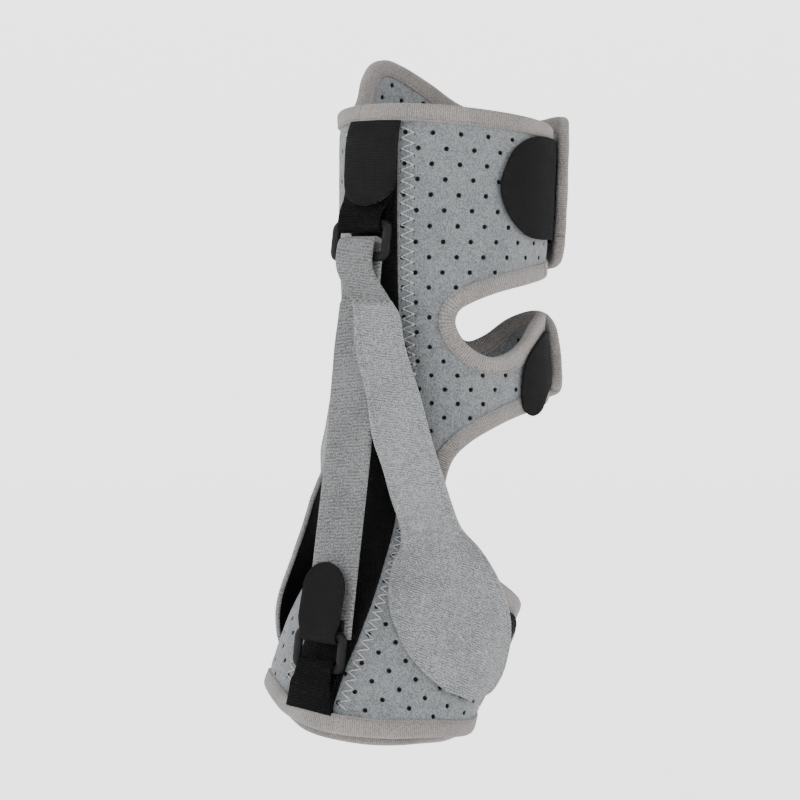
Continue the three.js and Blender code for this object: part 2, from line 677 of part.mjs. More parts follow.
// Paddle straps
function paddle(rows) {
  const columns = 8;
  return sheet(rows.map(({ run, inner, outer, inner_off, outer_off, flat }) => {
    const v = run * LENGTH;
    const level = (t) => PADDLE_LEVEL + THREE.MathUtils.lerp(inner_off, outer_off, t);
    const at = (t, side) => onLeg(arc(THREE.MathUtils.lerp(inner, outer, t)), v,
      level(t) + side * FELT_THICK);
    return Array.from({ length: columns }, (_, j) => {
      const t = j / (columns - 1);
      return [-0.5, 0.5].map((side) =>
        at(t, side).lerp(at(0, side).lerp(at(1, side), t), flat));
    });
  }));
}
piece('paddle_strap_near', paddle(PADDLE_NEAR), paddleFelt);
piece('paddle_strap_far', paddle(PADDLE_FAR), paddleFelt);

// Hook tabs sewn under the ends of the upper flaps and laid over the lower ones: their outlines as
// angle and run, from the sewn edge round the free end
const CUFF_TAB = table(`
  angle run
  152  0.046
  128  0.043
   98  0.050
   86  0.072
   80  0.105
   78  0.130
   81  0.160
   89  0.188
  100  0.204
  128  0.206
  152  0.205
`);
const ANKLE_TAB = table(`
  angle run
  152  0.362
  130  0.346
  113  0.360
  100  0.388
   95  0.430
   97  0.462
  104  0.472
  112  0.466
  122  0.440
  136  0.425
  152  0.415
`);
const FOOT_TAB = table(`
  angle run
  158  0.778
  134  0.770
  120  0.758
  108  0.752
  105  0.762
  112  0.782
  126  0.800
  136  0.812
  158  0.815
`);
function hookTab(rows) {
  const points = new THREE.CatmullRomCurve3(rows.map((row) =>
    new THREE.Vector3(arc(row.angle), row.run * LENGTH, 0)), false, 'centripetal');
  const outline = points.getPoints(rows.length * 3).map((p) => new THREE.Vector2(p.x, p.y));
  return laid(outline, TAB_THICK, TAB_LEVEL, onLeg);
}
piece('cuff_hook_tab', hookTab(CUFF_TAB), hook);
piece('ankle_hook_tab', hookTab(ANKLE_TAB), hook);
piece('foot_hook_tab', hookTab(FOOT_TAB), hook);

export default brace;
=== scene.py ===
import math

import bpy
import numpy as np
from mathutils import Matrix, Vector


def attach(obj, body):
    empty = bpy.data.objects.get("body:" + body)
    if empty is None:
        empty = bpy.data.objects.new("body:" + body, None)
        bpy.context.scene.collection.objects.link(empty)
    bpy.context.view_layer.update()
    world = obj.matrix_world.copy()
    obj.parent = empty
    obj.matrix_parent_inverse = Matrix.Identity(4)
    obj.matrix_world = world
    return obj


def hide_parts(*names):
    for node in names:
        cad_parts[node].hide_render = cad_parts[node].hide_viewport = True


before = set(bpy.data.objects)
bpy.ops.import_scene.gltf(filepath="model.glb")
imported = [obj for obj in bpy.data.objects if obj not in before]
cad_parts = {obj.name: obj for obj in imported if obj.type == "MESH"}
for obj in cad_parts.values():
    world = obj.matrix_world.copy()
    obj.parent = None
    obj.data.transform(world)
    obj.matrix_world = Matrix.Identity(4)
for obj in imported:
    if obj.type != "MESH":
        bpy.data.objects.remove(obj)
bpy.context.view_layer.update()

# Shell. A wrap cut from felt-faced foam, punched with small round holes in staggered columns, closed
# round the lower leg, ankle and midfoot. It lies on a leg-shaped surface, in millimetres round and
# along the leg, and its upper flaps rise over the lower ones at the back.

LENGTH, HALF_WIDTH, HALF_DEPTH, WALL = 310.0, 49.0, 50.0, 3.6
FLAP_LIFT = 7.6

#   run      out     down   half_x front  back  tilt  turn
SECTIONS = np.array([
    (-0.129, 0.003, 0.252, 1.020, 1.00, 0.96, 5.5, 0),
    (0.000, -0.006, 0.123, 1.000, 1.00, 0.96, 5.5, 0),
    (0.129, -0.010, 0.000, 0.980, 1.00, 0.96, 2.0, 0),
    (0.258, -0.013, -0.129, 0.939, 0.98, 0.96, 0.0, 0),
    (0.355, -0.010, -0.226, 0.898, 0.96, 0.94, 0.0, 0),
    (0.452, 0.000, -0.323, 0.857, 0.98, 0.98, 2.0, 0),
    (0.548, 0.000, -0.419, 0.837, 1.00, 1.08, 5.0, 0),
    (0.645, -0.016, -0.516, 0.878, 0.98, 1.04, 12.0, 0),
    (0.742, -0.065, -0.610, 1.000, 0.92, 0.92, 20.0, 1),
    (0.839, -0.119, -0.697, 1.102, 0.88, 0.78, 24.0, 3),
    (0.968, -0.174, -0.813, 1.143, 0.82, 0.66, 25.0, 5),
    (1.065, -0.216, -0.900, 1.163, 0.78, 0.62, 25.0, 6),
])

# Finished edge: degrees round the leg from the front centre, and run as a share of LENGTH
EDGE = np.array([
    (0, .017), (40, .017), (80, .018), (120, .019), (150, .022), (160, .034), (164, .068), (164, .200),
    (160, .244), (148, .260), (124, .268), (104, .275), (82, .286), (66, .301), (59, .313), (57, .329),
    (60, .350), (67, .370), (78, .382), (92, .374), (104, .355), (113, .336), (126, .322), (142, .320),
    (150, .334), (153, .368), (152, .412), (144, .440), (128, .456), (96, .473), (79, .491), (65, .514),
    (56, .541), (52, .578), (53, .622), (60, .664), (75, .697), (93, .713), (122, .727), (144, .736),
    (154, .756), (157, .800), (155, .870), (146, .905), (120, .934), (79, .962), (46, .990), (15, 1.003),
    (-8, .994), (-37, .963), (-62, .950), (-90, .972), (-118, .994), (-150, .988), (-180, .962),
    (-196, .946), (-205, .925), (-209, .885), (-209, .800), (-205, .762), (-196, .748), (-182, .740),
    (-160, .729), (-143, .713), (-131, .680), (-125, .630), (-122, .575), (-126, .530), (-140, .494),
    (-165, .466), (-194, .450), (-207, .440), (-214, .416), (-216, .384), (-212, .350), (-202, .328),
    (-188, .317), (-168, .330), (-152, .360), (-142, .368), (-136, .350), (-137, .316), (-144, .290),
    (-160, .270), (-188, .254), (-208, .248), (-219, .234), (-224, .200), (-224, .036), (-219, .001),
    (-206, -.008), (-180, -.008), (-160, -.014), (-139, -.034), (-121, -.063), (-104, -.084),
    (-91, -.090), (-81, -.080), (-74, -.055), (-69, -.014), (-60, .010), (-40, .017),
])


def smooth_rows(x, y):
    """The value between written rows, by a cubic whose slope at a row is the harmonic mean of the two
    steps beside it, and 0 where they differ in sign, so that it never overshoots."""
    step = np.diff(y) / np.diff(x)
    a, b = step[:-1], step[1:]
    keeps = a * b > 0
    inner = np.where(keeps, 2 * a * b / np.where(keeps, a + b, 1.0), 0.0)
    slope = np.concatenate([step[:1], inner, step[-1:]])

    def value(at):
        i = np.clip(np.searchsorted(x, at, side="right") - 1, 0, len(x) - 2)
        width = x[i + 1] - x[i]
        t = np.clip((at - x[i]) / width, 0, 1)
        p, q, m, n = y[i], y[i + 1], slope[i] * width, slope[i + 1] * width
        return p + t * (m + t * (3 * (q - p) - 2 * m - n + t * (m + n - 2 * (q - p))))

    return value


section_of = [smooth_rows(SECTIONS[:, 0], SECTIONS[:, k]) for k in range(1, 8)]


def arc(degrees):
    """Distance round the leg for an angle, at the cuff's half width."""
    return np.radians(degrees) * HALF_WIDTH


def on_leg(u, v, off):
    """A point of the leg's surface: half an ellipse in front and half of another behind, in a plane
    that tilts with the foot, moved outwards from the middle of the wall by off."""
    u, v, off = np.broadcast_arrays(*[np.asarray(a, float) for a in (u, v, off)])
    out, down, half_x, front, back, tilt, turn = [f(v / LENGTH) for f in section_of]
    tilt, turn = np.radians(tilt), np.radians(turn)
    sin, cos = np.sin(u / HALF_WIDTH), np.cos(u / HALF_WIDTH)
    a = half_x * HALF_WIDTH
    b = np.where(cos > 0, front, back) * HALF_DEPTH
    nx, ny = sin / a, cos / b
    n = np.hypot(nx, ny)
    sideways, forwards = a * sin + off * nx / n, b * cos + off * ny / n
    return np.stack([
        sideways * np.cos(turn) + forwards * np.sin(turn) * np.cos(tilt),
        out * LENGTH + sideways * np.sin(turn) - forwards * np.cos(turn) * np.cos(tilt),
        down * LENGTH + forwards * np.sin(tilt),
    ], axis=-1)


def lift(u):
    """How far the upper flaps stand off the leg: a smooth step from 118 to 172 degrees behind it."""
    t = np.clip((np.degrees(-np.asarray(u, float) / HALF_WIDTH) - 118) / (172 - 118), 0, 1)
    return FLAP_LIFT * t * t * (3 - 2 * t)


def softness(u, v):
    """Shallow hollows and swells of foam pulled round a leg: products of long sines, 0.3 mm high."""
    return 0.3 * np.sin(u / 15 + 1.2 * np.sin(v / 31)) * np.sin(v / 22 + 0.8 * np.sin(u / 27))


def on_shell(u, v, off):
    return on_leg(u, v, off + lift(u))


def edge_curve(rows, steps):
    """A closed centripetal spline through the rows: each span is a cubic whose end slopes come from
    the square roots of the distances to the neighbouring rows."""
    p = np.column_stack([arc(rows[:, 0]), rows[:, 1] * LENGTH])
    p0, p1, p2, p3 = np.roll(p, 1, 0), p, np.roll(p, -1, 0), np.roll(p, -2, 0)
    d0, d1, d2 = [np.sqrt(np.linalg.norm(b - a, axis=1))[:, None] for a, b in
                  ((p0, p1), (p1, p2), (p2, p3))]
    m = d1 * ((p1 - p0) / d0 - (p2 - p0) / (d0 + d1) + (p2 - p1) / d1)
    n = d1 * ((p2 - p1) / d1 - (p3 - p1) / (d1 + d2) + (p3 - p2) / d2)
    t = (np.arange(steps) / steps)[None, :, None]
    p1, p2, m, n = [a[:, None, :] for a in (p1, p2, m, n)]
    curve = p1 + t * (m + t * (3 * (p2 - p1) - 2 * m - n + t * (m + n - 2 * (p2 - p1))))
    return curve.reshape(-1, 2)


def inward(line, distance):
    """A closed line moved towards the inside of the cut, each point along its neighbours' normal."""
    along = np.roll(line, -1, 0) - np.roll(line, 1, 0)
    along /= np.linalg.norm(along, axis=1)[:, None]
    turns = np.sum(line[:, 0] * np.roll(line[:, 1], -1) - line[:, 1] * np.roll(line[:, 0], -1))
    return line + distance * np.sign(turns) * np.column_stack([-along[:, 1], along[:, 0]])


def depth_in(points, line):
    """How far each point lies inside a closed line: the least distance to its spans, negative where
    a ray from the point crosses the line an even number of times."""
    a, b = line, np.roll(line, -1, 0)
    found = []
    for part in np.array_split(points, max(1, len(points) // 3000)):
        q = part[:, None, :]
        t = np.clip(np.sum((q - a) * (b - a), -1) / np.sum((b - a) ** 2, -1), 0, 1)[..., None]
        near = np.linalg.norm(q - a - t * (b - a), axis=-1).min(1)
        spans = (a[:, 1] > q[..., 1]) != (b[:, 1] > q[..., 1])
        rise = np.where(b[:, 1] == a[:, 1], 1.0, b[:, 1] - a[:, 1])
        cross = a[:, 0] + (q[..., 1] - a[:, 1]) / rise * (b[:, 0] - a[:, 0])
        odd = np.sum(spans & (q[..., 0] < cross), axis=1) % 2 == 1
        found.append(np.where(odd, near, -near))
    return np.concatenate(found)


def add_piece(name, points, faces, materials, nodes=(), uv=None, attributes=None, smooth=True):
    """A mesh object from points in millimetres and faces by point number, riding with the brace."""
    mesh = bpy.data.meshes.new(name)
    mesh.from_pydata((np.asarray(points, float) * 0.001).tolist(), [], faces)
    for material in materials:
        mesh.materials.append(material)
    if uv is not None:
        corner = np.empty(len(mesh.loops), np.int32)
        mesh.loops.foreach_get("vertex_index", corner)
        layer = mesh.uv_layers.new(name="UVMap")
        layer.data.foreach_set("uv", (np.asarray(uv, float)[corner] * 0.01).astype(np.float32).ravel())
    for key, values in (attributes or {}).items():
        spot = mesh.attributes.new(key, "FLOAT", "POINT")
        spot.data.foreach_set("value", np.asarray(values, np.float32))
    mesh.polygons.foreach_set("use_smooth", np.full(len(mesh.polygons), smooth))
    mesh.update()
    piece = bpy.data.objects.new(name, mesh)
    bpy.context.scene.collection.objects.link(piece)
    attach(piece, "root")
    if nodes:
        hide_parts(*nodes)
    return piece


class Socket:
    """A node socket whose arithmetic adds Math nodes to its material."""

    def __init__(self, look, socket):
        self.look, self.socket = look, socket

    def maths(self, operation, *others):
        node = self.look.node("ShaderNodeMath", {"operation": operation}, self, *others)
        return node["Value"]

    def __add__(self, other):
        return self.maths("ADD", other)

    __radd__ = __add__

    def __sub__(self, other):
        return self.maths("SUBTRACT", other)

    def __rsub__(self, other):
        return self.look.node("ShaderNodeMath", {"operation": "SUBTRACT"}, other, self)["Value"]

    def __mul__(self, other):
        return self.maths("MULTIPLY", other)

    __rmul__ = __mul__

    def sine(self):
        return self.maths("SINE")

    def over(self, low, high):
        """0 below low, 1 above high, and smooth between."""
        node = self.look.node("ShaderNodeMapRange", {"interpolation_type": "SMOOTHSTEP"}, self, low, high)
        return node["Result"]


class Look:
    """A material with one Principled shader, built by expressions."""

    def __init__(self, name, **shader):
        self.material = bpy.data.materials.new(name)
        self.material.use_nodes = True
        self.tree = self.material.node_tree
        self.shader = self.tree.nodes["Principled BSDF"]
        for key, value in shader.items():
            self.shader.inputs[key.replace("_", " ").title().replace("Ior", "IOR")].default_value = value

    def node(self, kind, settings, *inputs, **named):
        """A node with its settings made first and its sockets filled in order or by name."""
        node = self.tree.nodes.new(kind)
        for key, value in settings.items():
            setattr(node, key, value)
        for key, value in [*enumerate(inputs), *named.items()]:
            if value is None:
                continue
            into = node.inputs[key.replace("_", " ") if isinstance(key, str) else key]
            if isinstance(value, Socket):
                self.tree.links.new(value.socket, into)
            else:
                into.default_value = value
        return {out.name: Socket(self, out) for out in node.outputs if out.enabled}

    def place(self):
        """Where a point is on the object, in metres."""
        return self.node("ShaderNodeTexCoord", {})["Object"]

    def laid_flat(self):
        """Across and along a piece of cloth, in millimetres."""
        uv = self.node("ShaderNodeUVMap", {"uv_map": "UVMap"})["UV"]
        flat = self.node("ShaderNodeSeparateXYZ", {}, uv)
        return flat["X"] * 100, flat["Y"] * 100

    def marked(self, key):
        return self.node("ShaderNodeAttribute", {"attribute_name": key})["Fac"]

    def noise(self, scale, detail=2.0, roughness=0.5, at=None):
        out = self.node("ShaderNodeTexNoise", {}, Vector=at or self.place(), Scale=scale, Detail=detail,
                        Roughness=roughness)
        return out["Fac"] if "Fac" in out else out["Factor"]

    def blend(self, share, one, other):
        """A colour between two others."""
        node = self.tree.nodes.new("ShaderNodeMix")
        node.data_type = "RGBA"
        for key, value in ((0, share), (6, one), (7, other)):
            if isinstance(value, Socket):
                self.tree.links.new(value.socket, node.inputs[key])
            else:
                node.inputs[key].default_value = (*value, 1) if isinstance(value, tuple) else value
        return Socket(self, node.outputs[2])

    def paint(self, key, value):
        self.tree.links.new(value.socket, self.shader.inputs[key])

    def relief(self, height, distance, strength=1.0):
        """Bump of a height from 0 to 1, in metres."""
        bump = self.node("ShaderNodeBump", {}, Strength=strength, Distance=distance, Height=height)
        self.paint("Normal", bump["Normal"])


def grey(r, g, b):
    """A colour given in 0 to 255 as the screen shows it, in the linear values that shaders take."""
    c = np.array([r, g, b]) / 255
    return tuple(float(x) for x in np.where(c > 0.04045, ((c + 0.055) / 1.055) ** 2.4, c / 12.92))


def felted(name, light, dark, fleck=1500, nap=0.00022):
    """Heathered felt: flecks of two greys well under a millimetre across, broad faint clouds, and a
    fine nap in relief. A mark for the punched holes paints shade into the inside of each hole, near black."""
    look = Look(name, roughness=0.95, sheen_weight=0.1, sheen_roughness=0.6, specular_ior_level=0.12)
    flecks = look.noise(fleck, 3, 0.7)
    patches = look.noise(fleck * 0.3, 2, 0.6)
    clouds = look.noise(38, 2)
    share = ((flecks - 0.5) * 4.4 + (patches - 0.5) * 1.1 + (clouds - 0.5) * 0.5 + 0.5).over(0.0, 1.0)
    colour = look.blend(share, dark, light)
    # Painted shade: the inside of each punched hole goes near black
    colour = look.blend(look.marked("painted_hole_shade").over(0.15, 0.75), colour, (0.004, 0.004, 0.004))
    look.paint("Base Color", colour)
    fibres = look.noise(2600, 2, 0.6)
    look.relief(flecks * 0.55 + fibres * 0.45, nap * 2, 0.9)
    return look.material


shell_felt = felted("shell felt", grey(108, 111, 113), grey(76, 79, 81))

BLOCK_ROUND, BLOCK_ALONG = 6.2, 6.8
FIRST_HOLE = (arc(42.5), 18.2)
outline = edge_curve(EDGE, 12)
outline_coarse = outline[::2]

# The felt is a grid of blocks, three cells each way, and every second block holds one hole
low_u, low_v = outline.min(0) - 8
high_u, high_v = outline.max(0) + 8
first_a = math.floor((low_u - FIRST_HOLE[0]) / BLOCK_ROUND) - 1
first_b = math.floor((low_v - FIRST_HOLE[1]) / BLOCK_ALONG) - 1
many_a = math.ceil((high_u - low_u) / BLOCK_ROUND) + 3
many_b = math.ceil((high_v - low_v) / BLOCK_ALONG) + 3
grid_u = FIRST_HOLE[0] + (first_a - 0.5 + np.arange(3 * many_a + 1) / 3) * BLOCK_ROUND
grid_v = FIRST_HOLE[1] + (first_b - 0.5 + np.arange(3 * many_b + 1) / 3) * BLOCK_ALONG
U, V = np.meshgrid(grid_u, grid_v, indexing="ij")
columns = len(grid_v)
deep = depth_in(np.column_stack([U.ravel(), V.ravel()]), outline_coarse).reshape(U.shape)

# Points round a block, from its first corner, and the blocks of the staggered pattern that hold a hole
RIM = np.array([(0, 0), (1, 0), (2, 0), (3, 0), (3, 1), (3, 2),
                (3, 3), (2, 3), (1, 3), (0, 3), (0, 2), (0, 1)])
block_a, block_b = np.meshgrid(np.arange(many_a), np.arange(many_b), indexing="ij")
rim_points = (3 * block_a[..., None] + RIM[:, 0]) * columns + 3 * block_b[..., None] + RIM[:, 1]
punched = (block_a + first_a + block_b + first_b) % 2 == 0
punched &= deep.ravel()[rim_points].min(-1) > 4.6
holes = rim_points[punched]

whole = np.minimum.reduce([deep[:-1, :-1], deep[1:, :-1], deep[1:, 1:], deep[:-1, 1:]]) > 3.2
whole &= ~np.repeat(np.repeat(punched, 3, 0), 3, 1)
i, j = np.nonzero(whole)
this, following = i * columns + j, (i + 1) * columns + j
felt_quads = np.column_stack([this, following, following + 1, this + 1])

# A hole's rings: radius, how far in from the face, and how much painted shade darkens them
HOLE = np.array([(1.50, -0.08, 0.0), (1.14, 0.15, 0.3), (1.02, 0.8, 0.9), (0.95, 1.5, 1.0)])
turn_of = np.radians(225 + 30 * np.arange(12))
centre = np.stack([U, V], -1).reshape(-1, 2)[holes].mean(1)
ring_u = centre[:, 0, None, None] + HOLE[:, 0, None] * np.cos(turn_of)
ring_v = centre[:, 1, None, None] + HOLE[:, 0, None] * np.sin(turn_of)
ring_in = np.broadcast_to(HOLE[:, 1, None], ring_u.shape)
ring_painted_hole_shade = np.broadcast_to(HOLE[:, 2, None], ring_u.shape)

flat_u = np.concatenate([U.ravel(), ring_u.ravel()])
flat_v = np.concatenate([V.ravel(), ring_v.ravel()])
sunk = np.concatenate([np.zeros(U.size), ring_in.ravel()])
# Painted shade of the holes for each point: none on the open felt, rising down each hole
painted_hole_shade = np.concatenate([np.zeros(U.size), ring_painted_hole_shade.ravel()])
depth_all = np.concatenate([deep.ravel(), np.full(ring_u.size, 20.0)])
loops = np.concatenate([holes[:, None, :], U.size + np.arange(ring_u.size).reshape(ring_u.shape)], axis=1)
a, b = loops[:, :-1], loops[:, 1:]
ring_quads = np.stack([a, np.roll(a, -1, 2), np.roll(b, -1, 2), b], -1).reshape(-1, 4)
bottoms = loops[:, -1]

face = np.concatenate([felt_quads, ring_quads])
count = len(flat_u)
pucker = 0.5 * np.exp(-((depth_all - 9.3) / 1.6) ** 2)
body = softness(flat_u, flat_v)
outer = on_shell(flat_u, flat_v, WALL / 2 - sunk - pucker + body)
inner = on_shell(flat_u, flat_v, -WALL / 2 + sunk + body)
edges = np.concatenate([felt_quads[:, [k, (k + 1) % 4]] for k in range(4)]
                       + [np.stack([holes, np.roll(holes, -1, 1)], -1).reshape(-1, 2)])
ways = edges[:, 0] * count + edges[:, 1]
open_edges = edges[~np.isin(ways, edges[:, 1] * count + edges[:, 0])]
walls = np.column_stack([open_edges[:, ::-1], open_edges + count])
all_quads = np.concatenate([face[:, ::-1], face + count, walls[:, ::-1]])
all_ends = np.concatenate([bottoms[:, ::-1], bottoms + count])
used = np.unique(np.concatenate([all_quads.ravel(), all_ends.ravel()]))
renumber = np.zeros(2 * count, int)
renumber[used] = np.arange(len(used))
shell = add_piece("felt_shell", np.concatenate([outer, inner])[used],
                  renumber[all_quads].tolist() + renumber[all_ends].tolist(), [shell_felt],
                  ["shell"], attributes={"painted_hole_shade": np.concatenate([painted_hole_shade, painted_hole_shade])[used]})
ahead = np.roll(outline, -1, 0)
cut_area = abs(np.sum(outline[:, 0] * ahead[:, 1] - outline[:, 1] * ahead[:, 0])) / 2

# Edge tape. Eight lengths of ribbed knit tape folded over the cut edge of the shell and sewn through
# with one row of stitches. Over the ends of the front strip and its webbing the tape bulges.

TAPE_WIDTH, TAPE_THICK = 8.0, 5.6
TAPES = [("top_tape", "top_binding", 102, 9), ("near_window_tape", "near_window_binding", 10, 23),
         ("near_heel_tape", "near_heel_binding", 24, 42), ("toe_tape", "toe_binding", 43, 56),
         ("far_heel_tape", "far_heel_binding", 57, 70), ("far_window_tape", "far_window_binding", 71, 86),
         ("cuff_flap_tape", "cuff_flap_binding", 87, 90),
         ("raised_corner_tape", "raised_corner_binding", 91, 101)]

# Folded tape in section: share of its width from the fold, and share of its half thickness
FOLD = np.array([(1.03, .64), (1.01, .80), (.975, .90), (.935, .90), (.90, .78), (.865, .84),
                 (.80, .93), (.60, .98), (.42, 1.0), (.26, .99), (.13, .88), (.045, .64), (.005, .30)])
FOLD = np.concatenate([FOLD, FOLD[::-1] * (1, -1)])


def facing_out(points, quads):
    """The faces turned so that the volume under them, the sum of their triple products, is positive."""
    a, b, c, d = [points[quads[:, k]] for k in range(4)]
    volume = np.sum(a * (np.cross(b, c) + np.cross(c, d)))
    return quads if volume > 0 else quads[:, ::-1]


def loft(rings, closed=False):
    """Faces between closed rings of points laid one after another, in an array (rings, points)."""
    ids = np.arange(rings[0] * rings[1]).reshape(rings)
    a, b = (ids, np.roll(ids, -1, 0)) if closed else (ids[:-1], ids[1:])
    return np.stack([a, b, np.roll(b, -1, 1), np.roll(a, -1, 1)], -1).reshape(-1, 4)


def smoothed(rows, step):
    """Rows of numbers whose first three are a place, read again at even steps along their line."""
    far = np.concatenate([[0], np.cumsum(np.linalg.norm(np.diff(rows[:, :3], axis=0), axis=1))])
    at = np.linspace(0, far[-1], max(2, round(far[-1] / step) + 1))
    return np.column_stack([smooth_rows(far, rows[:, k])(at) for k in range(rows.shape[1])]), at


def ribbed(name, light, dark, pitch, **more):
    """Brushed knit tape: faint ribs across it, one every pitch millimetres, under fuzz and clouds."""
    look = Look(name, roughness=0.95, sheen_weight=0.15, sheen_roughness=0.5, specular_ior_level=0.1)
    across, along = look.laid_flat()
    flecks = look.noise(1500, 3, 0.7)
    wander = (look.noise(300, 2) - 0.5) * 0.8
    rib = (along * (2 * math.pi / pitch) + wander * 2.2).sine() * 0.5 + 0.5
    share = ((flecks - 0.5) * 3.6 + (rib - 0.5) * 0.7 + (look.noise(45, 2) - 0.5) * 0.9 + 0.5).over(0.0, 1.0)
    look.paint("Base Color", look.blend(share, dark, light))
    look.relief(rib * 0.6 + look.noise(2400, 2) * 0.4, 0.0004, 1.0)
    return look.material


tape_knit = ribbed("tape knit", grey(124, 120, 118), grey(88, 85, 82), 0.95)
bulge_middle, bulge_half = arc(9), 15.0
BULGED = ("top_tape", "raised_corner_tape", "toe_tape")
tape_lines = {}
for name, node, first, last in TAPES:
    steps = 12
    start, end = first * steps, (last + 1 if last > first else last + 1 + len(EDGE)) * steps
    picked = outline[np.arange(start, end + 1) % len(outline)]
    moved = inward(outline, 1.0)[np.arange(start, end + 1) % len(outline)] - picked
    rows, s = smoothed(np.column_stack([picked, np.zeros(len(picked)), moved]), 1.5)
    gap_share = 0.02 if name == "raised_corner_tape" else 0.2
    rows[-1, :2] = rows[-1, :2] + (rows[-2, :2] - rows[-1, :2]) * gap_share
    u = rows[:, 0, None] + rows[:, 3, None] * FOLD[:, 0] * TAPE_WIDTH
    v = rows[:, 1, None] + rows[:, 4, None] * FOLD[:, 0] * TAPE_WIDTH
    wave = 1 + 0.035 * np.sin(s / 3.1 + np.sin(s / 11))[:, None]
    off = FOLD[:, 1] * TAPE_THICK / 2 * wave
    if name in BULGED:
        near = np.clip((bulge_half + 12 - np.abs(rows[:, 0] - bulge_middle)) / 12, 0, 1)[:, None]
        off = off + np.where(FOLD[:, 1] > 0, 1, 0) * FOLD[:, 0] ** 0.7 * 2.1 * near * near * (3 - 2 * near)
    points = on_shell(u, v, off + softness(u, v)).reshape(-1, 3)
    quads = facing_out(points, loft(u.shape))
    many = len(FOLD)
    flipped = quads[0, 0] != 0
    ends = [list(range(many)), list(range(len(points) - many, len(points)))]
    ends[1 if not flipped else 0].reverse()
    round_fold = np.diff(FOLD, axis=0) * (TAPE_WIDTH, TAPE_THICK / 2)
    girth = np.concatenate([[0], np.cumsum(np.hypot(*round_fold.T))])
    uv = np.stack(np.broadcast_arrays(girth[None, :], s[:, None]), -1).reshape(-1, 2)
    add_piece(name, points, quads.tolist() + [end[::-1] for end in ends], [tape_knit],
              [node], uv)
    tape_lines[name] = (rows, s)


def stitches(name, start, end, out, thick, material, slot, rise=0.3):
    """Threads from start to end, all at once. Each arches out by the sine of its way along, has six
    points round it and narrows where it dives into the cloth."""
    t = np.linspace(0, 1, 6)[None, :, None]
    along = end - start
    path = start[:, None] + along[:, None] * t + out[:, None] * (rise * np.sin(np.pi * t) - 0.12)
    side = np.cross(along, out)
    side /= np.linalg.norm(side, axis=1)[:, None]
    round_it = np.radians(60 * np.arange(6))[None, None, :, None]
    reach = (np.array([0.5, 0.95, 1, 1, 0.95, 0.5]) * thick / 2)[None, :, None, None]
    outward = side[:, None, None] * np.cos(round_it) + out[:, None, None] * np.sin(round_it)
    points = path[:, :, None] + reach * outward
    n = len(start)
    base = np.arange(n)[:, None, None] * 36
    quads = facing_out(points[0].reshape(-1, 3), loft((6, 6)))
    faces = (base + quads[None]).reshape(-1, 4)
    caps = np.array([[0, 1, 2, 3, 4, 5], [35, 34, 33, 32, 31, 30]])
    if quads[0, 0] != 0:
        caps = caps[:, ::-1]
    lids = (base + caps[:, ::-1]).reshape(-1, 6)
    return add_piece(name, points.reshape(-1, 3), faces.tolist() + lids.tolist(), [material])


def threaded(name, colour, dark):
    """Twisted sewing thread: a fine stripe of light and shade on its roundness."""
    look = Look(name, roughness=0.7, sheen_weight=0.2, specular_ior_level=0.3)
    look.paint("Base Color", look.blend(look.noise(1500, 2).over(0.3, 0.7), dark, colour))
    look.relief(look.noise(3500, 1), 0.0001, 0.8)
    return look.material


tape_thread = threaded("tape thread", grey(107, 104, 102), grey(79, 76, 74))
starts, finishes, outs = [], [], []
for name, (rows, s) in tape_lines.items():
    at = np.arange(1.5, s[-1] - 2.5, 2.7)
    ends = []
    for shift in (0.0, 1.9):
        u, v = [np.interp(at + shift, s, rows[:, k] + rows[:, k + 3] * 7.2) for k in (0, 1)]
        level = TAPE_THICK / 2 * 0.87 + softness(u, v)
        if name in BULGED:
            near = np.clip((bulge_half + 12 - np.abs(u - bulge_middle)) / 12, 0, 1)
            level = level + 1.95 * near * near * (3 - 2 * near)
        ends.append((on_shell(u, v, level), on_shell(u, v, level + 1)))
    starts.append(ends[0][0])
    finishes.append(ends[1][0])
    outs.append(ends[0][1] - ends[0][0])
stitches("tape_stitching", np.concatenate(starts), np.concatenate(finishes), np.concatenate(outs), 0.5,
         tape_thread, "binding_tape", rise=0.2)

# Front strip. Black woven loop strip down the middle of the front, sewn to the shell along both
# edges with a broad zigzag in grey thread. Its ends lie under the top and toe tapes.

STRIP_THICK, GAP = 1.0, 0.3
STRIP_LEVEL = WALL / 2 + GAP + STRIP_THICK / 2
TOP_EDGE = EDGE[0, 1] * LENGTH

#   run    far   near edge, in degrees
STRIP = np.array([(.040, -7.5, 24.2), (.290, -6.5, 25.7), (.600, -6.5, 25.5), (.790, -6.5, 25.5),
                  (.850, -7, 24.2), (.906, -9, 21.2), (1.000, -10.7, 18.2)])
far_edge, near_edge = [smooth_rows(STRIP[:, 0] * LENGTH, STRIP[:, k]) for k in (1, 2)]


def toe_edge(u):
    """Where the finished toe edge lies below a spot round the leg."""
    rows = EDGE[44:51][::-1]
    return smooth_rows(rows[:, 0], rows[:, 1] * LENGTH)(np.degrees(np.asarray(u) / HALF_WIDTH))


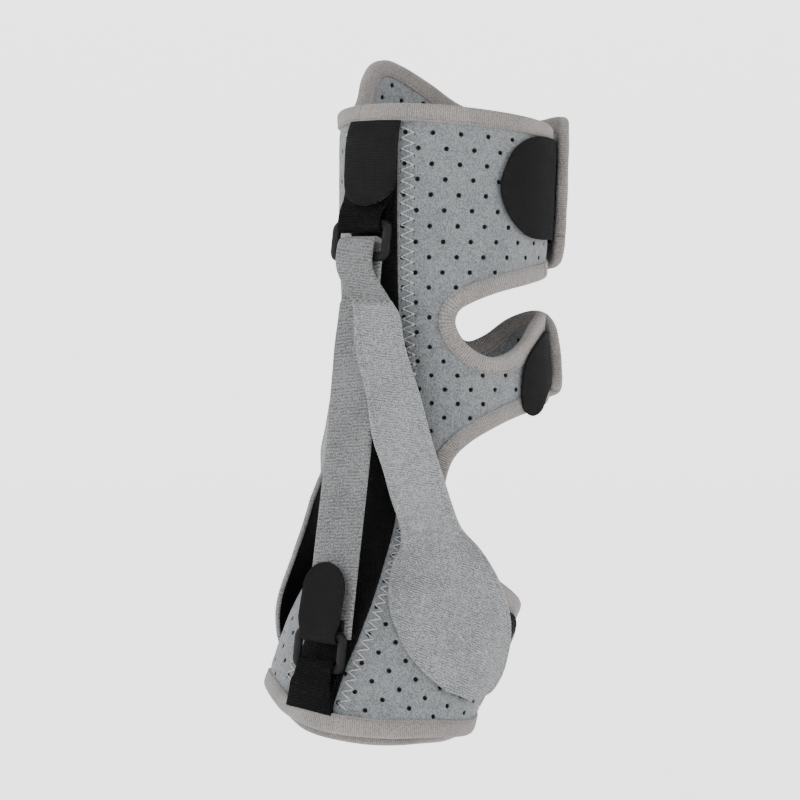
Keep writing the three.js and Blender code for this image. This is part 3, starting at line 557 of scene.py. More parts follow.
def two_faced(middle, half, out, wraps=False):
    """A closed thin body on a grid of places: both faces stand half off the middle along out, and
    share their points along the border, where half is 0. wraps joins the last column to the first,
    and then the first row is a small round hole that one many-sided face closes on each side."""
    n, m = middle.shape[:2]
    ids = np.arange(n * m).reshape(n, m)
    edge = np.zeros((n, m), bool)
    edge[-1] = True
    if not wraps:
        edge[0] = edge[:, 0] = edge[:, -1] = True
    back = ids.copy()
    back[~edge] = n * m + np.arange(np.sum(~edge))
    points = np.concatenate([(middle + out * half[..., None]).reshape(-1, 3),
                             (middle - out * half[..., None])[~edge]])

    def quads(k):
        k = np.concatenate([k, k[:, :1]], 1) if wraps else k
        return np.stack([k[:-1, :-1], k[1:, :-1], k[1:, 1:], k[:-1, 1:]], -1).reshape(-1, 4)

    faces = np.concatenate([quads(ids), quads(back)[:, ::-1]])
    turned = facing_out(points, faces)
    faces_out = turned.tolist()
    if wraps:
        forward = turned is faces
        lids = [ids[0].tolist(), back[0][::-1].tolist()]
        faces_out += lids if forward else [lid[::-1] for lid in lids]
    return points, faces_out, ~edge


def rounded(distance, radius):
    """Share of full thickness at a distance from the border: a quarter circle of that radius."""
    return np.sqrt(np.clip(1 - (1 - np.clip(distance / radius, 0, 1)) ** 2, 0, 1))


def gathered_ends(many, softening=0.85):
    """Shares from 0 to 1 that crowd towards both ends, halfway to a cosine."""
    t = np.linspace(0, 1, many)
    return t * (1 - softening) + (1 - np.cos(np.pi * t)) / 2 * softening


def normals(points):
    """Unit normals of a grid of places, from the cross product of its two differences."""
    n = np.cross(np.gradient(points, axis=0), np.gradient(points, axis=1))
    return n / np.linalg.norm(n, axis=-1)[..., None]


def woven(name, light, dark, warp, weft, roughness=0.8, depth=0.0003):
    """Black narrow weave: warp ribs along the cloth and weft ribs across it, in millimetres each."""
    look = Look(name, roughness=roughness, specular_ior_level=0.04)
    across, along = look.laid_flat()
    wander = (look.noise(500, 2) - 0.5) * 1.2
    one = (across * (2 * math.pi / warp) + wander).sine()
    two = (along * (2 * math.pi / weft) + wander).sine()
    weave = one * two * 0.25 + two * 0.2 + 0.5
    share = (weave * 0.7 + look.noise(700, 3, 0.6) * 0.6 - 0.15).over(0.1, 0.9)
    look.paint("Base Color", look.blend(share, dark, light))
    look.relief(weave, depth, 1.0)
    return look.material


strip_weave = woven("strip weave", grey(17, 17, 18), grey(4, 4, 4), 1.3, 1.0)
t = gathered_ends(22)
k = np.linspace(0, 1, 150)
low = TOP_EDGE + 6.4
strip_v = low + k[:, None] * (toe_edge(arc(-10 + 28 * t)) - 6.2 - low)
strip_u = arc(far_edge(strip_v) + (near_edge(strip_v) - far_edge(strip_v)) * t)
to_side = np.minimum(t, 1 - t) * arc(32)
to_end = np.minimum(k, 1 - k) * 280
strip_half = STRIP_THICK / 2 * rounded(np.minimum(to_side[None, :], to_end[:, None]), 0.5)
sag_in = 1.2 * np.clip(1 - to_end / 9, 0, 1)[:, None]
strip_mid = on_leg(strip_u, strip_v, STRIP_LEVEL - sag_in + softness(strip_u, strip_v))
strip_out = on_leg(strip_u, strip_v, STRIP_LEVEL + 1) - on_leg(strip_u, strip_v, STRIP_LEVEL)
points, faces, inside = two_faced(strip_mid, strip_half, strip_out)
strip_uv = np.stack([strip_u, strip_v], -1)
front_strip = add_piece("front_strip", points, faces, [strip_weave], ["centre_strip"],
                        np.concatenate([strip_uv.reshape(-1, 2), strip_uv[inside]]))
(strip_v.max() - low) / 1e3


def zigzag(from_v, to_v, edge, left, right, pitch, sewn):
    """Stitch ends of a zigzag between two angles beside an edge of the strip, half a pitch down the
    leg for each stroke, each stroke in so many stitches."""
    strokes = np.arange(from_v, to_v, pitch / 2)
    turn = np.arange(len(strokes)) % 2
    share = np.arange(sewn) / sewn
    found = []
    for shift in (0.0, 0.92 / sewn):
        k = (share + shift)[None, :]
        angle = left + (right - left) * np.where(turn[:, None] == 0, k, 1 - k)
        v = strokes[:, None] + k * pitch / 2
        u = arc(edge(v) + angle)
        level = WALL / 2 + 0.3 + softness(u, v)
        found.append((on_shell(u, v, level).reshape(-1, 3), on_shell(u, v, level + 1).reshape(-1, 3)))
    return found[0][0], found[1][0], found[0][1] - found[0][0]


strip_thread = threaded("strip thread", grey(168, 169, 171), grey(127, 130, 131))
# Needle holes: near-black dashes beside the zigzag, painted shade for the dark inside each puncture
needle_hole_shade = Look("needle hole shade", base_color=(0.004, 0.004, 0.004, 1), roughness=1.0,
                    specular_ior_level=0.0)
for name, edge, side in (("near", near_edge, 1), ("far", far_edge, -1)):
    upper = zigzag(16, 200, edge, 1.8 * side, 8.6 * side, 4.7, 3)
    middle_run = zigzag(200, 252, edge, 1.6 * side, 6.8 * side, 4.4, 1)
    toe_run = zigzag(252, float(toe_edge(arc(28 * side))) - 11, edge, 1.4 * side, 7.4 * side, 5.0, 1)
    sewn = [np.concatenate([part[k] for part in (upper, middle_run, toe_run)]) for k in range(3)]
    stitches(f"strip_zigzag_{name}", *sewn, 0.5, strip_thread, "webbing", rise=0.35)
    # Painted shade: a short black dash at each needle hole
    from_v = np.arange(16.4, 200, 2.35)
    spots = arc(edge(from_v) + side * np.where(np.arange(len(from_v)) % 2 == 0, 1.5, 9.0))
    level = WALL / 2 + 0.12 + softness(spots, from_v)
    pricks = [on_shell(spots, from_v + shift, level) for shift in (0.0, 0.75)]
    stitches(f"strip_needle_hole_shade_{name}", *pricks, on_shell(spots, from_v, level + 1) - pricks[0], 0.45,
             needle_hole_shade.material, "webbing", rise=0.03)

# Rings. Two moulded plastic loops, one near each end of the front, whose near and far bars are held
# by webbing, felt or a hook tab. The pull strap's line sets how both of them lie.

WEB_THICK, TAB_THICK, FELT_THICK = 1.2, 1.4, 2.4
RING_WIDTH, LOWER_RING_WIDTH, RING_HEIGHT, RING_BAR, RING_THICK = 35.5, 30.5, 19.0, 4.2, 3.0
RING_PLAY, RING_LEAN = 0.5, 1.9
WEB_LEVEL = STRIP_LEVEL + STRIP_THICK / 2 + GAP + WEB_THICK / 2
RING_LEVEL = WEB_LEVEL + WEB_THICK / 2 + RING_PLAY + RING_THICK / 2 + RING_LEAN
UPPER_ANGLE, UPPER_RUN = 8, 0.211 * LENGTH
LOWER_ANGLE, LOWER_RUN = 9, 0.892 * LENGTH
FRONT_ANGLE, TOE_ANGLE = 10, 7
RING_HALF = RING_HEIGHT / 2
upper_spot = on_leg(arc(UPPER_ANGLE), UPPER_RUN, RING_LEVEL)
lower_spot = on_leg(arc(LOWER_ANGLE), LOWER_RUN, RING_LEVEL)
pull = (upper_spot - lower_spot) / np.linalg.norm(upper_spot - lower_spot)


def ring_axes(angle, run):
    """Across, towards the knee, and outwards, for a ring whose length follows the pull."""
    side = on_leg(arc(angle) + 1, run, 0) - on_leg(arc(angle) - 1, run, 0)
    out = np.cross(side, pull)
    out /= np.linalg.norm(out)
    return np.array([np.cross(pull, out), pull, out])


upper_axes, lower_axes = ring_axes(UPPER_ANGLE, UPPER_RUN), ring_axes(LOWER_ANGLE, LOWER_RUN)


def moulded_ring(width, height, axes, middle):
    """A rounded bar, a superellipse in section, carried round a rectangle with round corners."""
    corner = 2.6
    half_w, half_h = (width - RING_BAR) / 2 - corner, (height - RING_BAR) / 2 - corner
    turn = np.radians(np.linspace(0, 90, 7))
    quarter = np.column_stack([np.cos(turn), np.sin(turn)])
    path, away = [], []
    for number, (sx, sy) in enumerate(((1, 1), (-1, 1), (-1, -1), (1, -1))):
        spin = np.array([(1, 0), (0, 1), (-1, 0), (0, -1)])[number]
        q = np.column_stack([quarter[:, 0] * spin[0] - quarter[:, 1] * spin[1],
                             quarter[:, 0] * spin[1] + quarter[:, 1] * spin[0]])
        path.append(q * corner + (sx * half_w, sy * half_h))
        away.append(q)
    path, away = np.concatenate(path), np.concatenate(away)
    phi = np.radians(np.arange(16) * 22.5)
    bar = np.sign(np.cos(phi)) * np.abs(np.cos(phi)) ** 0.7 * RING_BAR / 2
    deep = np.sign(np.sin(phi)) * np.abs(np.sin(phi)) ** 0.7 * RING_THICK / 2
    flat = path[:, None, :] + away[:, None, :] * bar[None, :, None]
    local = np.concatenate([flat, np.broadcast_to(deep[None, :, None], (*flat.shape[:2], 1))], -1)
    points = (local @ axes + middle).reshape(-1, 3)
    return points, facing_out(points, loft(local.shape[:2], closed=True))


ring_look = Look("ring plastic", roughness=0.5, specular_ior_level=0.1)
haze = ring_look.noise(220, 3, 0.6)
ring_look.paint("Base Color", ring_look.blend(haze, (0.003, 0.003, 0.003), (0.007, 0.007, 0.007)))
ring_look.paint("Roughness", haze * 0.2 + 0.42)
ring_look.relief(ring_look.noise(1800, 2), 0.00003, 1.0)
for name, node, width, axes, middle in (
        ("upper_pull_ring", "upper_ring", RING_WIDTH, upper_axes, upper_spot),
        ("lower_pull_ring", "lower_ring", LOWER_RING_WIDTH, lower_axes, lower_spot)):
    points, quads = moulded_ring(width, RING_HEIGHT, axes, middle)
    add_piece(name, points, quads.tolist(), [ring_look.material], [node])

# Webbing. Black ribbed webbing comes out from under each end tape, goes round the far bar of its
# ring and lies back over itself.


def at_ring(axes, middle, angle, run, path, width):
    """Strap stations from (up, out) or (up, out, width) in a ring's own axes."""
    rows = []
    for up, out, *own in path:
        spot = middle + axes[1] * up + axes[2] * out
        rows.append((*spot, *axes[0], *(own or [width]), 0.0, arc(angle), run - up, RING_LEVEL + out))
    return rows


def at_leg(angle, path, width):
    """Strap stations from (run, level) or (run, level, how far bent to the leg) at an angle."""
    rows = []
    for run, level, *bent in path:
        spot = on_leg(arc(angle), run, level)
        side = on_leg(arc(angle) + 1, run, level) - on_leg(arc(angle) - 1, run, level)
        rows.append((*spot, *(side / np.linalg.norm(side)), width, *(bent or [1.0]), arc(angle), run, level))
    return rows


def half_turn(up, radius, start, end, many=7):
    """Half a circle round a bar in (up, out)."""
    turn = np.linspace(start, end, many)
    return [(up + radius * math.sin(a), radius * math.cos(a)) for a in turn]


def strap(name, stations, thick, material, nodes, step=1.2, wave=0.0, held="folded", rests_on=()):
    """A flat strap with round edges carried along its stations. A section lies straight across, or
    bent to the leg's curve, as its station says."""
    rows, s = smoothed(np.array(stations, float), step)
    place, side, width, bent, u, v, level = np.split(rows, [3, 6, 7, 8, 9, 10], axis=1)
    side = side / np.linalg.norm(side, axis=1)[:, None]
    along = np.gradient(place, axis=0)
    out = np.cross(side, along)
    out /= np.linalg.norm(out, axis=1)[:, None]
    r = thick / 2
    flat, arcs = np.linspace(-1, 1, 11), np.radians([40, 90, 140])
    ex = np.concatenate([flat, np.ones(3), flat[::-1], -np.ones(3)])
    rx = np.concatenate([np.zeros(11), np.sin(arcs), np.zeros(11), -np.sin(arcs)])
    ez = np.concatenate([np.ones(11), np.cos(arcs), -np.ones(11), -np.cos(arcs)])
    x = ex * np.maximum(width / 2 - r, 0.3) + rx * r
    points = place[:, None] + side[:, None] * x[..., None]
    points += bent[..., None] * (on_leg(u + x, v, np.broadcast_to(level, x.shape)) - points)
    ripple = wave * np.sin(s / 7.3 + 2 * np.sin(s / 19))[:, None] * np.cos(x / width * 2.2)
    points += out[:, None] * (ez * r + ripple)[..., None]
    shape = points.shape[:2]
    points = points.reshape(-1, 3)
    quads = facing_out(points, loft(shape))
    many = shape[1]
    lids = [list(range(many)), list(range(len(points) - many, len(points)))[::-1]]
    if quads[0, 0] == 0:
        lids = [lid[::-1] for lid in lids]
    uv = np.stack(np.broadcast_arrays(x, s[:, None]), -1).reshape(-1, 2)
    piece = add_piece(name, points, quads.tolist() + lids, [material], nodes, uv)
    area = np.sum((width[1:, 0] + width[:-1, 0]) / 2 * np.diff(s))
    as_sheet(piece, width.max(), s[-1], held, rests_on, area)


def as_sheet(piece, wide, long, held, rests_on, area, with_pieces=()):
    """Works out a piece's flat cloth area in square metres, the lesser of its area and its width times its
    length, from sizes in millimetres, and keeps nothing.
    """
    min(float(area), wide * long) / 1e6


WEB_WIDTH, LOWER_WEB_WIDTH, TOE_WIDTH = 26.0, 21.0, 23.5
near_ring, near_toe = (FRONT_ANGLE + UPPER_ANGLE) / 2, (LOWER_ANGLE + TOE_ANGLE) / 2
UNDER_TOP, UNDER_TOE = TOP_EDGE + TAPE_WIDTH + GAP, TAPE_WIDTH + GAP
web_turn = RING_THICK / 2 + RING_PLAY + WEB_THICK / 2
bar_up = RING_HALF - RING_BAR / 2 + (RING_THICK - RING_BAR) / 2
upper_top = UPPER_RUN - RING_HALF
OVER_WEB = WEB_LEVEL + WEB_THICK + GAP
webbing_weave = woven("webbing weave", grey(13, 13, 14), grey(2, 2, 2), 1.6, 1.3, depth=0.0006)
upper_ring_args = (upper_axes, upper_spot, UPPER_ANGLE, UPPER_RUN)
lower_ring_args = (lower_axes, lower_spot, LOWER_ANGLE, LOWER_RUN)
strap("upper_web", [
    *at_leg(FRONT_ANGLE, [(UNDER_TOP + 1, WEB_LEVEL - 0.6), (UNDER_TOP + 9, WEB_LEVEL),
                          (UNDER_TOP + 18, WEB_LEVEL)], WEB_WIDTH),
    *at_leg(near_ring, [(upper_top - 14, WEB_LEVEL + 0.4), (upper_top - 8, WEB_LEVEL + 0.8, 0.7)], WEB_WIDTH),
    *at_ring(*upper_ring_args, [(RING_HALF + 0.6, -web_turn), *half_turn(bar_up, -web_turn, 0, math.pi),
                                (RING_HALF + 0.6, web_turn)], WEB_WIDTH),
    *at_leg(near_ring, [(upper_top - 8, OVER_WEB + 1.8, 0.7), (upper_top - 14, OVER_WEB + 0.6)], WEB_WIDTH),
], WEB_THICK, webbing_weave, ["upper_webbing"], step=0.9, rests_on=["centre_strip", "upper_ring"])

lower_bottom = LOWER_RUN + RING_HALF
lower_end = float(toe_edge(arc(TOE_ANGLE))) - UNDER_TOE + 1.5
strap("lower_web", [
    *at_leg(TOE_ANGLE, [(lower_end, WEB_LEVEL - 1.2)], TOE_WIDTH),
    *at_leg(near_toe, [((lower_end + lower_bottom) / 2, WEB_LEVEL + 1.4, 0.7)], LOWER_WEB_WIDTH),
    *at_ring(*lower_ring_args, [(-RING_HALF - 0.4, -web_turn), *half_turn(-bar_up, -web_turn, 0, -math.pi),
                                (-RING_HALF - 0.4, web_turn)], LOWER_WEB_WIDTH),
    *at_leg(near_toe, [((lower_end + lower_bottom) / 2, OVER_WEB + 2.6, 0.7)], LOWER_WEB_WIDTH),
    *at_leg(TOE_ANGLE, [(lower_end, OVER_WEB - 1.3)], TOE_WIDTH),
], WEB_THICK, webbing_weave, ["lower_webbing"], step=0.9, rests_on=["centre_strip", "lower_ring"])

# Hook tabs. Matt black hook cloth: a tongue over the upper webbing, a tab round the lower ring, and
# three D-shaped tabs sewn under the ends of the upper flaps and pressed onto the lower ones.

TONGUE_WIDTH, TONGUE_LENGTH, TONGUE_RISE = 28.0, 37.0, 5.4
LOWER_TAB_WIDTH, LOWER_TAB_LENGTH, RING_TAB_WIDTH = 25.0, 40.0, 21.0
TAB_LEVEL = TAPE_THICK / 2 + GAP + TAB_THICK / 2


def hooked(name, light, dark, pitch):
    """Hook cloth: rows of tiny stiff loops, a grid of bumps broken by noise, almost without shine."""
    look = Look(name, roughness=0.92, specular_ior_level=0.04)
    across, along = look.laid_flat()
    wander = (look.noise(650, 2) - 0.5) * 2.4
    one = (across * (2 * math.pi / pitch) + wander).sine()
    two = (along * (2 * math.pi / pitch) + wander).sine()
    bumps = one * two * 0.3 + two * 0.15 + 0.5
    share = (bumps * 0.8 + look.noise(1500, 3, 0.7) * 0.7 - 0.25).over(0.15, 0.85)
    look.paint("Base Color", look.blend(share, dark, light))
    look.relief(bumps * 0.6 + look.noise(2500, 2) * 0.4, 0.00035, 1.0)
    return look.material


tongue_cloth = hooked("tongue hook cloth", grey(31, 31, 32), grey(5, 5, 5), 1.15)
tab_cloth = hooked("tab hook cloth", grey(27, 27, 28), grey(9, 9, 9), 0.8)
tongue_level = OVER_WEB + WEB_THICK / 2 + GAP + TAB_THICK / 2
tongue_end = UNDER_TOP + TONGUE_LENGTH - TONGUE_WIDTH / 2
round_tip = np.sin(np.radians([9, 18, 27, 36, 45, 54, 62, 70, 77, 83, 87.5]))


def at_tip(start, half, low, rise, power):
    """Runs, levels and widths round a tongue's end: half a circle that climbs by a power of its way."""
    return [(start + half * k, low + rise * k ** power, 2 * half * math.sqrt(1 - k * k)) for k in round_tip]


tongue_rows = at_leg(FRONT_ANGLE, [
    (UNDER_TOP - 1.2, tongue_level - 3.6), (UNDER_TOP + 5, tongue_level - 1.4),
    (UNDER_TOP + 12, tongue_level - 0.4), (tongue_end, tongue_level)], TONGUE_WIDTH)
for run, level, width in at_tip(tongue_end, TONGUE_WIDTH / 2, tongue_level, TONGUE_RISE, 1.5):
    tongue_rows += at_leg(FRONT_ANGLE + 3 * (run - tongue_end) / (TONGUE_WIDTH / 2), [(run, level)], width)
strap("upper_hook_tongue", tongue_rows, TAB_THICK, tongue_cloth, ["upper_hook_tab"], step=0.8,
      held="laid", rests_on=["upper_webbing"])

tab_turn = RING_THICK / 2 + RING_PLAY + TAB_THICK / 2
tab_straight = LOWER_TAB_LENGTH - LOWER_TAB_WIDTH / 2
strap("lower_hook_tongue", at_ring(*lower_ring_args, [
    (RING_HALF + 5, -tab_turn, RING_TAB_WIDTH),
    *[(*spot, RING_TAB_WIDTH) for spot in half_turn(bar_up, -tab_turn, 0, math.pi)],
    (RING_HALF + 5, tab_turn - 0.2),
    (tab_straight, tab_turn - 1.2),
    *at_tip(tab_straight, LOWER_TAB_WIDTH / 2, tab_turn - 1.2, -0.8, 1.0)], LOWER_TAB_WIDTH),
    TAB_THICK, tab_cloth, ["lower_hook_tab"], step=0.8, rests_on=["lower_ring", "pull_strap"])

TABS = {
    "cuff_tab": ("cuff_hook_tab", [
        (152, .046), (128, .043), (98, .050), (86, .072), (80, .105), (78, .130), (81, .160), (89, .188),
        (100, .204), (128, .206), (152, .205)]),
    "ankle_tab": ("ankle_hook_tab", [
        (152, .362), (130, .346), (113, .360), (100, .388), (95, .430), (97, .462), (104, .472), (112, .466),
        (122, .440), (136, .425), (152, .415)]),
    "foot_tab": ("foot_hook_tab", [
        (158, .778), (134, .770), (120, .758), (108, .752), (105, .762), (112, .782), (126, .800),
        (136, .812), (158, .815)]),
}
for name, (node, corners) in TABS.items():
    corners = edge_curve(np.array(corners), 8)
    heart = corners.mean(0)
    share = np.concatenate([np.linspace(0.06, 0.86, 9), [0.93, 0.965, 0.985, 1.0]])
    flat = heart + (corners - heart) * share[:, None, None]
    reach = np.linalg.norm(corners - heart, axis=1)
    half = TAB_THICK / 2 * rounded((1 - share[:, None]) * reach[None, :], 0.6)
    u, v = flat[..., 0], flat[..., 1]
    level = TAB_LEVEL + softness(u, v)
    middle = on_leg(u, v, level)
    points, faces, inside = two_faced(middle, half, on_leg(u, v, level + 1) - middle, wraps=True)
    tab = add_piece(name, points, faces, [tab_cloth], [node],
                    np.concatenate([flat.reshape(-1, 2), flat[inside]]))
    turned = np.roll(corners, -1, 0)
    as_sheet(tab, *np.ptp(corners, axis=0), "laid", ["shell"],
             abs(np.sum(corners[:, 0] * turned[:, 1] - corners[:, 1] * turned[:, 0])) / 2)

# Pull strap. One length of loop felt with a ribbed woven back: from the lower ring it runs taut up the
# front, stands loose over the upper ring's near bar, and its end is sewn down where the paddles start.

PULL_WIDTH, FOLD_WIDTH, SAG = 27.0, 22.0, 1.6
PADDLE_LEVEL = WALL / 2 + GAP + FELT_THICK / 2
felt_back = -(RING_THICK / 2 + RING_PLAY + GAP + TAB_THICK + FELT_THICK / 2)
fold_turn = RING_THICK / 2 + RING_PLAY + FELT_THICK / 2
fold_up = bar_up - 4.4

#  run   inner  outer  level at the inner and outer edge, and how straight it lies across
NEAR_PADDLE = np.array([
    (.297, 8, 27.5, 11.8, 11.8, 1), (.320, 10, 31.5, 13.8, 13.4, 1), (.361, 12.5, 33.5, 17.6, 15.2, 1),
    (.439, 18, 38.5, 21.2, 15.0, 1), (.500, 20.5, 43, 21.6, 14.4, 1), (.560, 24, 48, 18.6, 12.2, 1),
    (.613, 27, 54, 14.4, 8.8, .9), (.650, 30, 60.5, 9.6, 5.4, .6), (.676, 32, 72, 5.4, 3.2, .3),
    (.700, 33, 82, 3, 2.4, 0), (.730, 31, 94, 1.6, 2.2, 0), (.765, 31.5, 105, .8, 2.6, 0),
    (.800, 35, 112.5, .4, 3.2, 0), (.833, 42, 115, .4, 3.6, 0), (.862, 51, 110, .4, 3.2, 0),
    (.884, 63, 99, .4, 2.4, 0), (.895, 74, 90, .4, 2, 0)])
FAR_PADDLE = np.array([
    (.300, 10, -15, 2.6, 2.6, 1), (.361, 3, -22, 3.8, 4.0, 1), (.439, -5, -29, 5.8, 6.8, 1),
    (.500, -12, -35, 8, 9.2, 1), (.560, -19, -42, 10.6, 12.4, 1), (.613, -25, -50, 13.2, 12, 1),
    (.650, -29, -58, 14.2, 11.5, .9), (.676, -32, -66, 13.7, 10.3, .8), (.700, -34, -75, 12.6, 8.8, .6),
    (.730, -35, -88, 11.3, 6.2, .4), (.765, -37, -98, 9.7, 3.6, .2), (.800, -41, -104, 7.7, 2.5, .05),
    (.833, -50, -105, 5.4, 2.4, 0), (.862, -62, -100, 3.4, 2.4, 0), (.884, -74, -92, 2.6, 2.4, 0)])


def looped(name, light, dark, pitch):
    """Brushed loop felt: short soft rows across the strap under heathered flecks."""
    look = Look(name, roughness=0.95, sheen_weight=0.1, sheen_roughness=0.6, specular_ior_level=0.12)
    across, along = look.laid_flat()
    flecks = look.noise(1600, 3, 0.7)
    wander = (look.noise(240, 2) - 0.5) * 7
    broken = look.noise(420, 2).over(0.35, 0.65)
    rows = (along * (2 * math.pi / pitch) - across * 0.5 + wander).sine() * 0.5 + 0.5
    rows = rows * broken + (1 - broken) * 0.5
    share = ((flecks - 0.5) * 4.2 + (rows - 0.5) * 0.8 + (look.noise(40, 2) - 0.5) * 0.6 + 0.5).over(0.0, 1.0)
    look.paint("Base Color", look.blend(share, dark, light))
    look.relief(rows * 0.6 + flecks * 0.2 + look.noise(2600, 2) * 0.2, 0.0006, 1.0)
    return look.material


pull_felt = looped("pull strap felt", grey(107, 108, 109), grey(59, 60, 61), 1.5)
back_rows = []
for t in np.arange(1, 17) / 17:
    across = lower_axes[0] * (1 - t) + upper_axes[0] * t
    out = lower_axes[2] * (1 - t) + upper_axes[2] * t
    level = felt_back * (1 - t) - fold_turn * t - SAG * math.sin(math.pi * t) ** 2
    share = 0.06 + 0.86 * t
    spot = lower_spot * (1 - share) + upper_spot * share + out / np.linalg.norm(out) * level
    run = LOWER_RUN * (1 - share) + UPPER_RUN * share
    near_fold = np.clip((t - 0.75) / 0.25, 0, 1)
    width = PULL_WIDTH + (FOLD_WIDTH - PULL_WIDTH) * near_fold ** 2 * (3 - 2 * near_fold)
    back_rows.append((*spot, *(across / np.linalg.norm(across)), width, 0.0, arc(8), run, 9.0))
start_run = NEAR_PADDLE[0, 0] * LENGTH + 0.7
flap_edges = [on_leg(arc(NEAR_PADDLE[0, k]), start_run, PADDLE_LEVEL + NEAR_PADDLE[0, k + 2]) for k in (1, 2)]
flap_across = flap_edges[1] - flap_edges[0]
flap_width = np.linalg.norm(flap_across)
flap_end = (*(sum(flap_edges) / 2), *(flap_across / flap_width), flap_width, 0.0, arc(18), start_run, 12.0)
strap("felt_pull_strap", [
    *at_ring(*lower_ring_args, [(RING_HALF - RING_BAR + 1, felt_back), (RING_HALF, felt_back)], PULL_WIDTH),
    *back_rows,
    *at_ring(*upper_ring_args, [(-bar_up - 3, -fold_turn), *half_turn(-fold_up, -fold_turn, 0, -math.pi),
                                (-bar_up - 4, fold_turn)], FOLD_WIDTH),
    flap_end,
], FELT_THICK, pull_felt, ["pull_strap"], wave=0.15, held="stretched",
    rests_on=["upper_ring", "lower_ring"])

# The seam to the near paddle is caught by crossed stitches, six in each direction
seam_level = PADDLE_LEVEL + NEAR_PADDLE[0, 3] + FELT_THICK / 2 + 0.1
seam_u = arc(NEAR_PADDLE[0, 1] + (NEAR_PADDLE[0, 2] - NEAR_PADDLE[0, 1]) * np.linspace(0.12, 0.88, 6))
ends = [on_leg(seam_u + dx, start_run - 0.6 + dy, seam_level)
        for dx, dy in ((-1.3, -1.4), (1.3, 1.4), (1.3, -1.4), (-1.3, 1.4))]
seam_out = on_leg(seam_u, start_run, seam_level + 1) - on_leg(seam_u, start_run, seam_level)
seam_thread = threaded("seam thread", grey(122, 123, 124), grey(70, 71, 72))
stitches("seam_cross_stitches", np.concatenate([ends[0], ends[2]]), np.concatenate([ends[1], ends[3]]),
         np.concatenate([seam_out, seam_out]), 0.5, seam_thread, "strap_felt", rise=0.35)

# Paddles. Two felt straps that leave the pull strap at its cross stitch, pass either side of the
# shin and widen into round ends pressed onto the shell beside the foot. The near one shows.


def paddle_place(rows, k, t):
    """Places on a paddle's middle: k runs down its rows and t from its inner to its outer edge."""
    run, inner, outer, inner_off, outer_off, flat = [smooth_rows(np.arange(len(rows)), rows[:, c])(k)
                                                     for c in range(6)]
    u, v = arc(inner + (outer - inner) * t), run * LENGTH
    level = PADDLE_LEVEL + inner_off + (outer_off - inner_off) * t
    bent = on_leg(u, v, level)
    one = on_leg(arc(inner), v, PADDLE_LEVEL + inner_off)
    two = on_leg(arc(outer), v, PADDLE_LEVEL + outer_off)
    straight = one + (two - one) * t[..., None]
    return bent + (straight - bent) * flat[..., None]


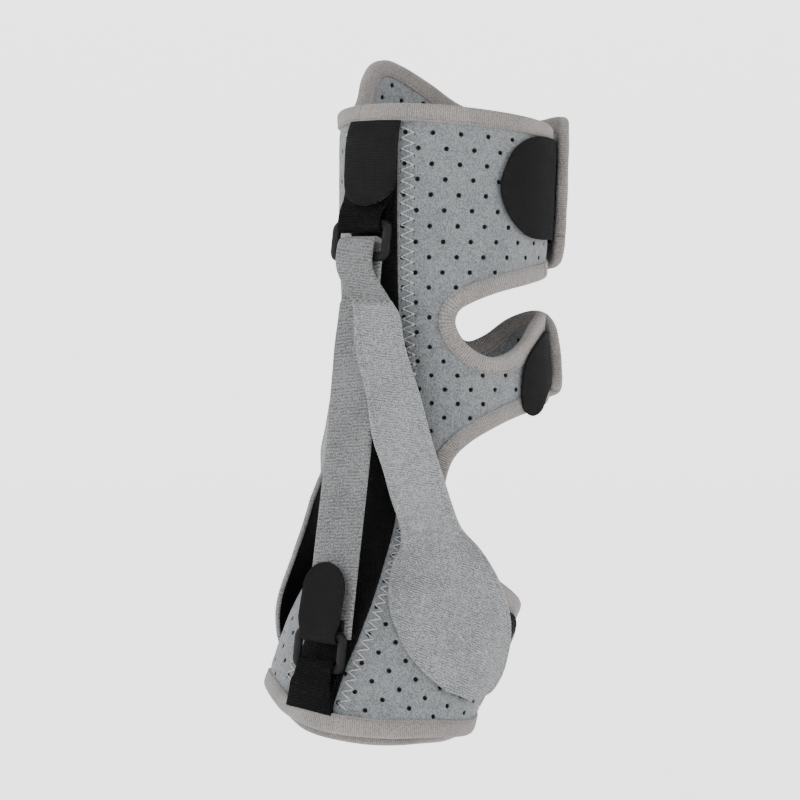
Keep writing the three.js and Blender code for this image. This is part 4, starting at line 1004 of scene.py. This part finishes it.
paddle_felt = looped("paddle felt", grey(127, 129, 130), grey(75, 77, 78), 1.2)
paddle_thread = threaded("paddle thread", grey(107, 108, 109), grey(67, 68, 70))
SEWN_IN = 3.4
for name, node, rows in (("near_paddle", "paddle_strap_near", NEAR_PADDLE),
                         ("far_paddle", "paddle_strap_far", FAR_PADDLE)):
    last = len(rows) - 1
    k = np.concatenate([[0, 0.02, 0.06, 0.12], np.linspace(0.2, last - 1, 120),
                        last - 1 + gathered_ends(22)[1:]])
    t = gathered_ends(34)
    k, t = np.meshgrid(k, t, indexing="ij")
    middle = paddle_place(rows, k, t)
    down = np.concatenate([[0], np.cumsum(np.linalg.norm(np.diff(middle[:, 16], axis=0), axis=-1))])
    width = np.linalg.norm(np.diff(middle, axis=1), axis=-1).sum(1)
    from_side = np.minimum(t, 1 - t) * width[:, None]
    from_end = np.minimum(down, down[-1] - down)[:, None]
    border = np.minimum(from_side, down[-1] - down[:, None])
    half = FELT_THICK / 2 * rounded(np.minimum(from_side, from_end), 1.2)
    half = half - 0.28 * np.exp(-((border - SEWN_IN) / 0.55) ** 2)
    out = normals(middle)
    off_leg = [on_leg(rows[8, 1], rows[8, 0] * LENGTH, level) for level in (0, 1)]
    out *= np.sign(np.sum(out[60, 16] * (off_leg[1] - off_leg[0])))
    points, faces, inside = two_faced(middle, half, out)
    flat = np.stack([(t - 0.5) * width[:, None], np.broadcast_to(down[:, None], t.shape)], -1)
    paddle = add_piece(name, points, faces, [paddle_felt, tab_cloth], [node],
                       np.concatenate([flat.reshape(-1, 2), flat[inside]]))
    # Hook cloth lines the back below the neck, 0.9 mm in from the border
    lined = (k > 4.5) & (border > 0.9)
    lined = lined[:-1, :-1] & lined[1:, :-1] & lined[1:, 1:] & lined[:-1, 1:]
    which = np.concatenate([np.zeros(lined.size, np.int32), lined.ravel()])
    paddle.data.polygons.foreach_set("material_index", which)
    as_sheet(paddle, width.max(), down[-1], "stretched", ["shell"],
             np.sum((width[1:] + width[:-1]) / 2 * np.diff(down)))
    # The sewn line follows the border 3.4 mm in: down one side, round the end and up the other
    far_in = SEWN_IN / width
    round_off = np.clip((down[-1] - SEWN_IN - down) / 9, 0, 1)
    keep = down < down[-1] - SEWN_IN
    inset = far_in + (0.5 - far_in) * (1 - np.sqrt(round_off))
    line_k = np.concatenate([k[keep, 0], k[keep, 0][::-1]])
    line_t = np.concatenate([inset[keep], 1 - inset[keep][::-1]])
    line = paddle_place(rows, line_k, line_t)
    line_s = np.concatenate([[0], np.cumsum(np.linalg.norm(np.diff(line, axis=0), axis=1))])
    at = np.arange(0.6, line_s[-1] - 2.4, 2.6)
    spots = []
    for shift in (0.0, 1.7):
        kk, tt = [np.interp(at + shift, line_s, c) for c in (line_k, line_t)]
        base = paddle_place(rows, kk, tt)
        aside = paddle_place(rows, kk, tt + 0.02) - base
        ahead = paddle_place(rows, kk + 0.02, tt) - base
        face = np.cross(aside, ahead)
        face /= np.linalg.norm(face, axis=1)[:, None]
        spots.append((base, face))
    facing = np.sign(np.sum(spots[0][1] * (spots[0][0] - on_leg(0.0, LENGTH * 0.55, -48.0)), axis=1))[:, None]
    begin, finish = [base + face * facing * (FELT_THICK / 2 - 0.2) for base, face in spots]
    stitches(f"{name}_stitching", begin, finish, spots[0][1] * facing, 0.45, paddle_thread, "strap_felt",
             rise=0.2)

# Studio. A pale floor that curves up into a wall all round, a broad soft light over the camera's
# left shoulder, a fainter one from the right, and the camera at the photograph's angle.

FLOOR = -0.42
run = np.linspace(0, 1, 40)
rise = np.clip((run - 0.6) / 0.4, 0, 1) * np.pi / 2
radius = np.where(run < 0.6, run / 0.6 * 3.0, 3.0 + 1.5 * np.sin(rise))
height = np.where(run < 0.6, 0.0, 1.5 * (1 - np.cos(rise)))
radius, height = np.append(radius, 4.5), np.append(height, 5.0)
around = np.linspace(0, 2 * np.pi, 97)[:-1]
bowl = np.stack([radius[:, None] * np.cos(around), radius[:, None] * np.sin(around),
                 FLOOR + np.repeat(height[:, None], 96, 1)], -1)
ids = np.arange(bowl.size // 3).reshape(bowl.shape[:2])
bowl_quads = np.stack([ids[:-1], ids[1:], np.roll(ids[1:], -1, 1), np.roll(ids[:-1], -1, 1)], -1)
paper = Look("studio paper", base_color=(0.86, 0.86, 0.86, 1), roughness=0.9, specular_ior_level=0.1,
             emission_color=(1.0, 1.0, 1.0, 1), emission_strength=1.1)
mesh = bpy.data.meshes.new("backdrop")
mesh.from_pydata(bowl.reshape(-1, 3).tolist(), [], bowl_quads.reshape(-1, 4).tolist())
mesh.polygons.foreach_set("use_smooth", np.full(len(mesh.polygons), True))
mesh.materials.append(paper.material)
backdrop = bpy.data.objects.new("backdrop", mesh)
bpy.context.scene.collection.objects.link(backdrop)


def soft_light(name, spot, target, size, power):
    """A square area light that faces a point."""
    lamp = bpy.data.lights.new(name, "AREA")
    lamp.size, lamp.energy = size, power
    holder = bpy.data.objects.new(name, lamp)
    holder.location = spot
    holder.rotation_euler = (Vector(target) - Vector(spot)).to_track_quat("-Z", "Y").to_euler()
    bpy.context.scene.collection.objects.link(holder)


middle = (0.0, -0.02, -0.1)
soft_light("key light", (0.3, -1.5, 1.2), middle, 1.3, 7)
soft_light("side light", (1.5, 0.3, 0.5), middle, 1.2, 2)
soft_light("far light", (-1.2, -0.9, 0.6), middle, 1.2, 2)
sky = bpy.data.worlds.new("studio air")
sky.use_nodes = True
sky.node_tree.nodes["Background"].inputs["Color"].default_value = (1.0, 1.0, 1.0, 1)
sky.node_tree.nodes["Background"].inputs["Strength"].default_value = 0.75
bpy.context.scene.world = sky

camera = bpy.data.objects.new("camera", bpy.data.cameras.new("camera"))
camera.data.lens, camera.data.sensor_width = 85.0, 36.0
az, el = math.radians(50), math.radians(4)
back = Vector((math.sin(az) * math.cos(el), -math.cos(az) * math.cos(el), math.sin(el)))
camera.location = Vector((-0.01005, -0.02290, -0.10056)) + back * 0.90667
camera.rotation_euler = (-back).to_track_quat("-Z", "Y").to_euler()
camera.data.clip_start, camera.data.clip_end = 0.05, 30
bpy.context.scene.collection.objects.link(camera)
bpy.context.scene.camera = camera
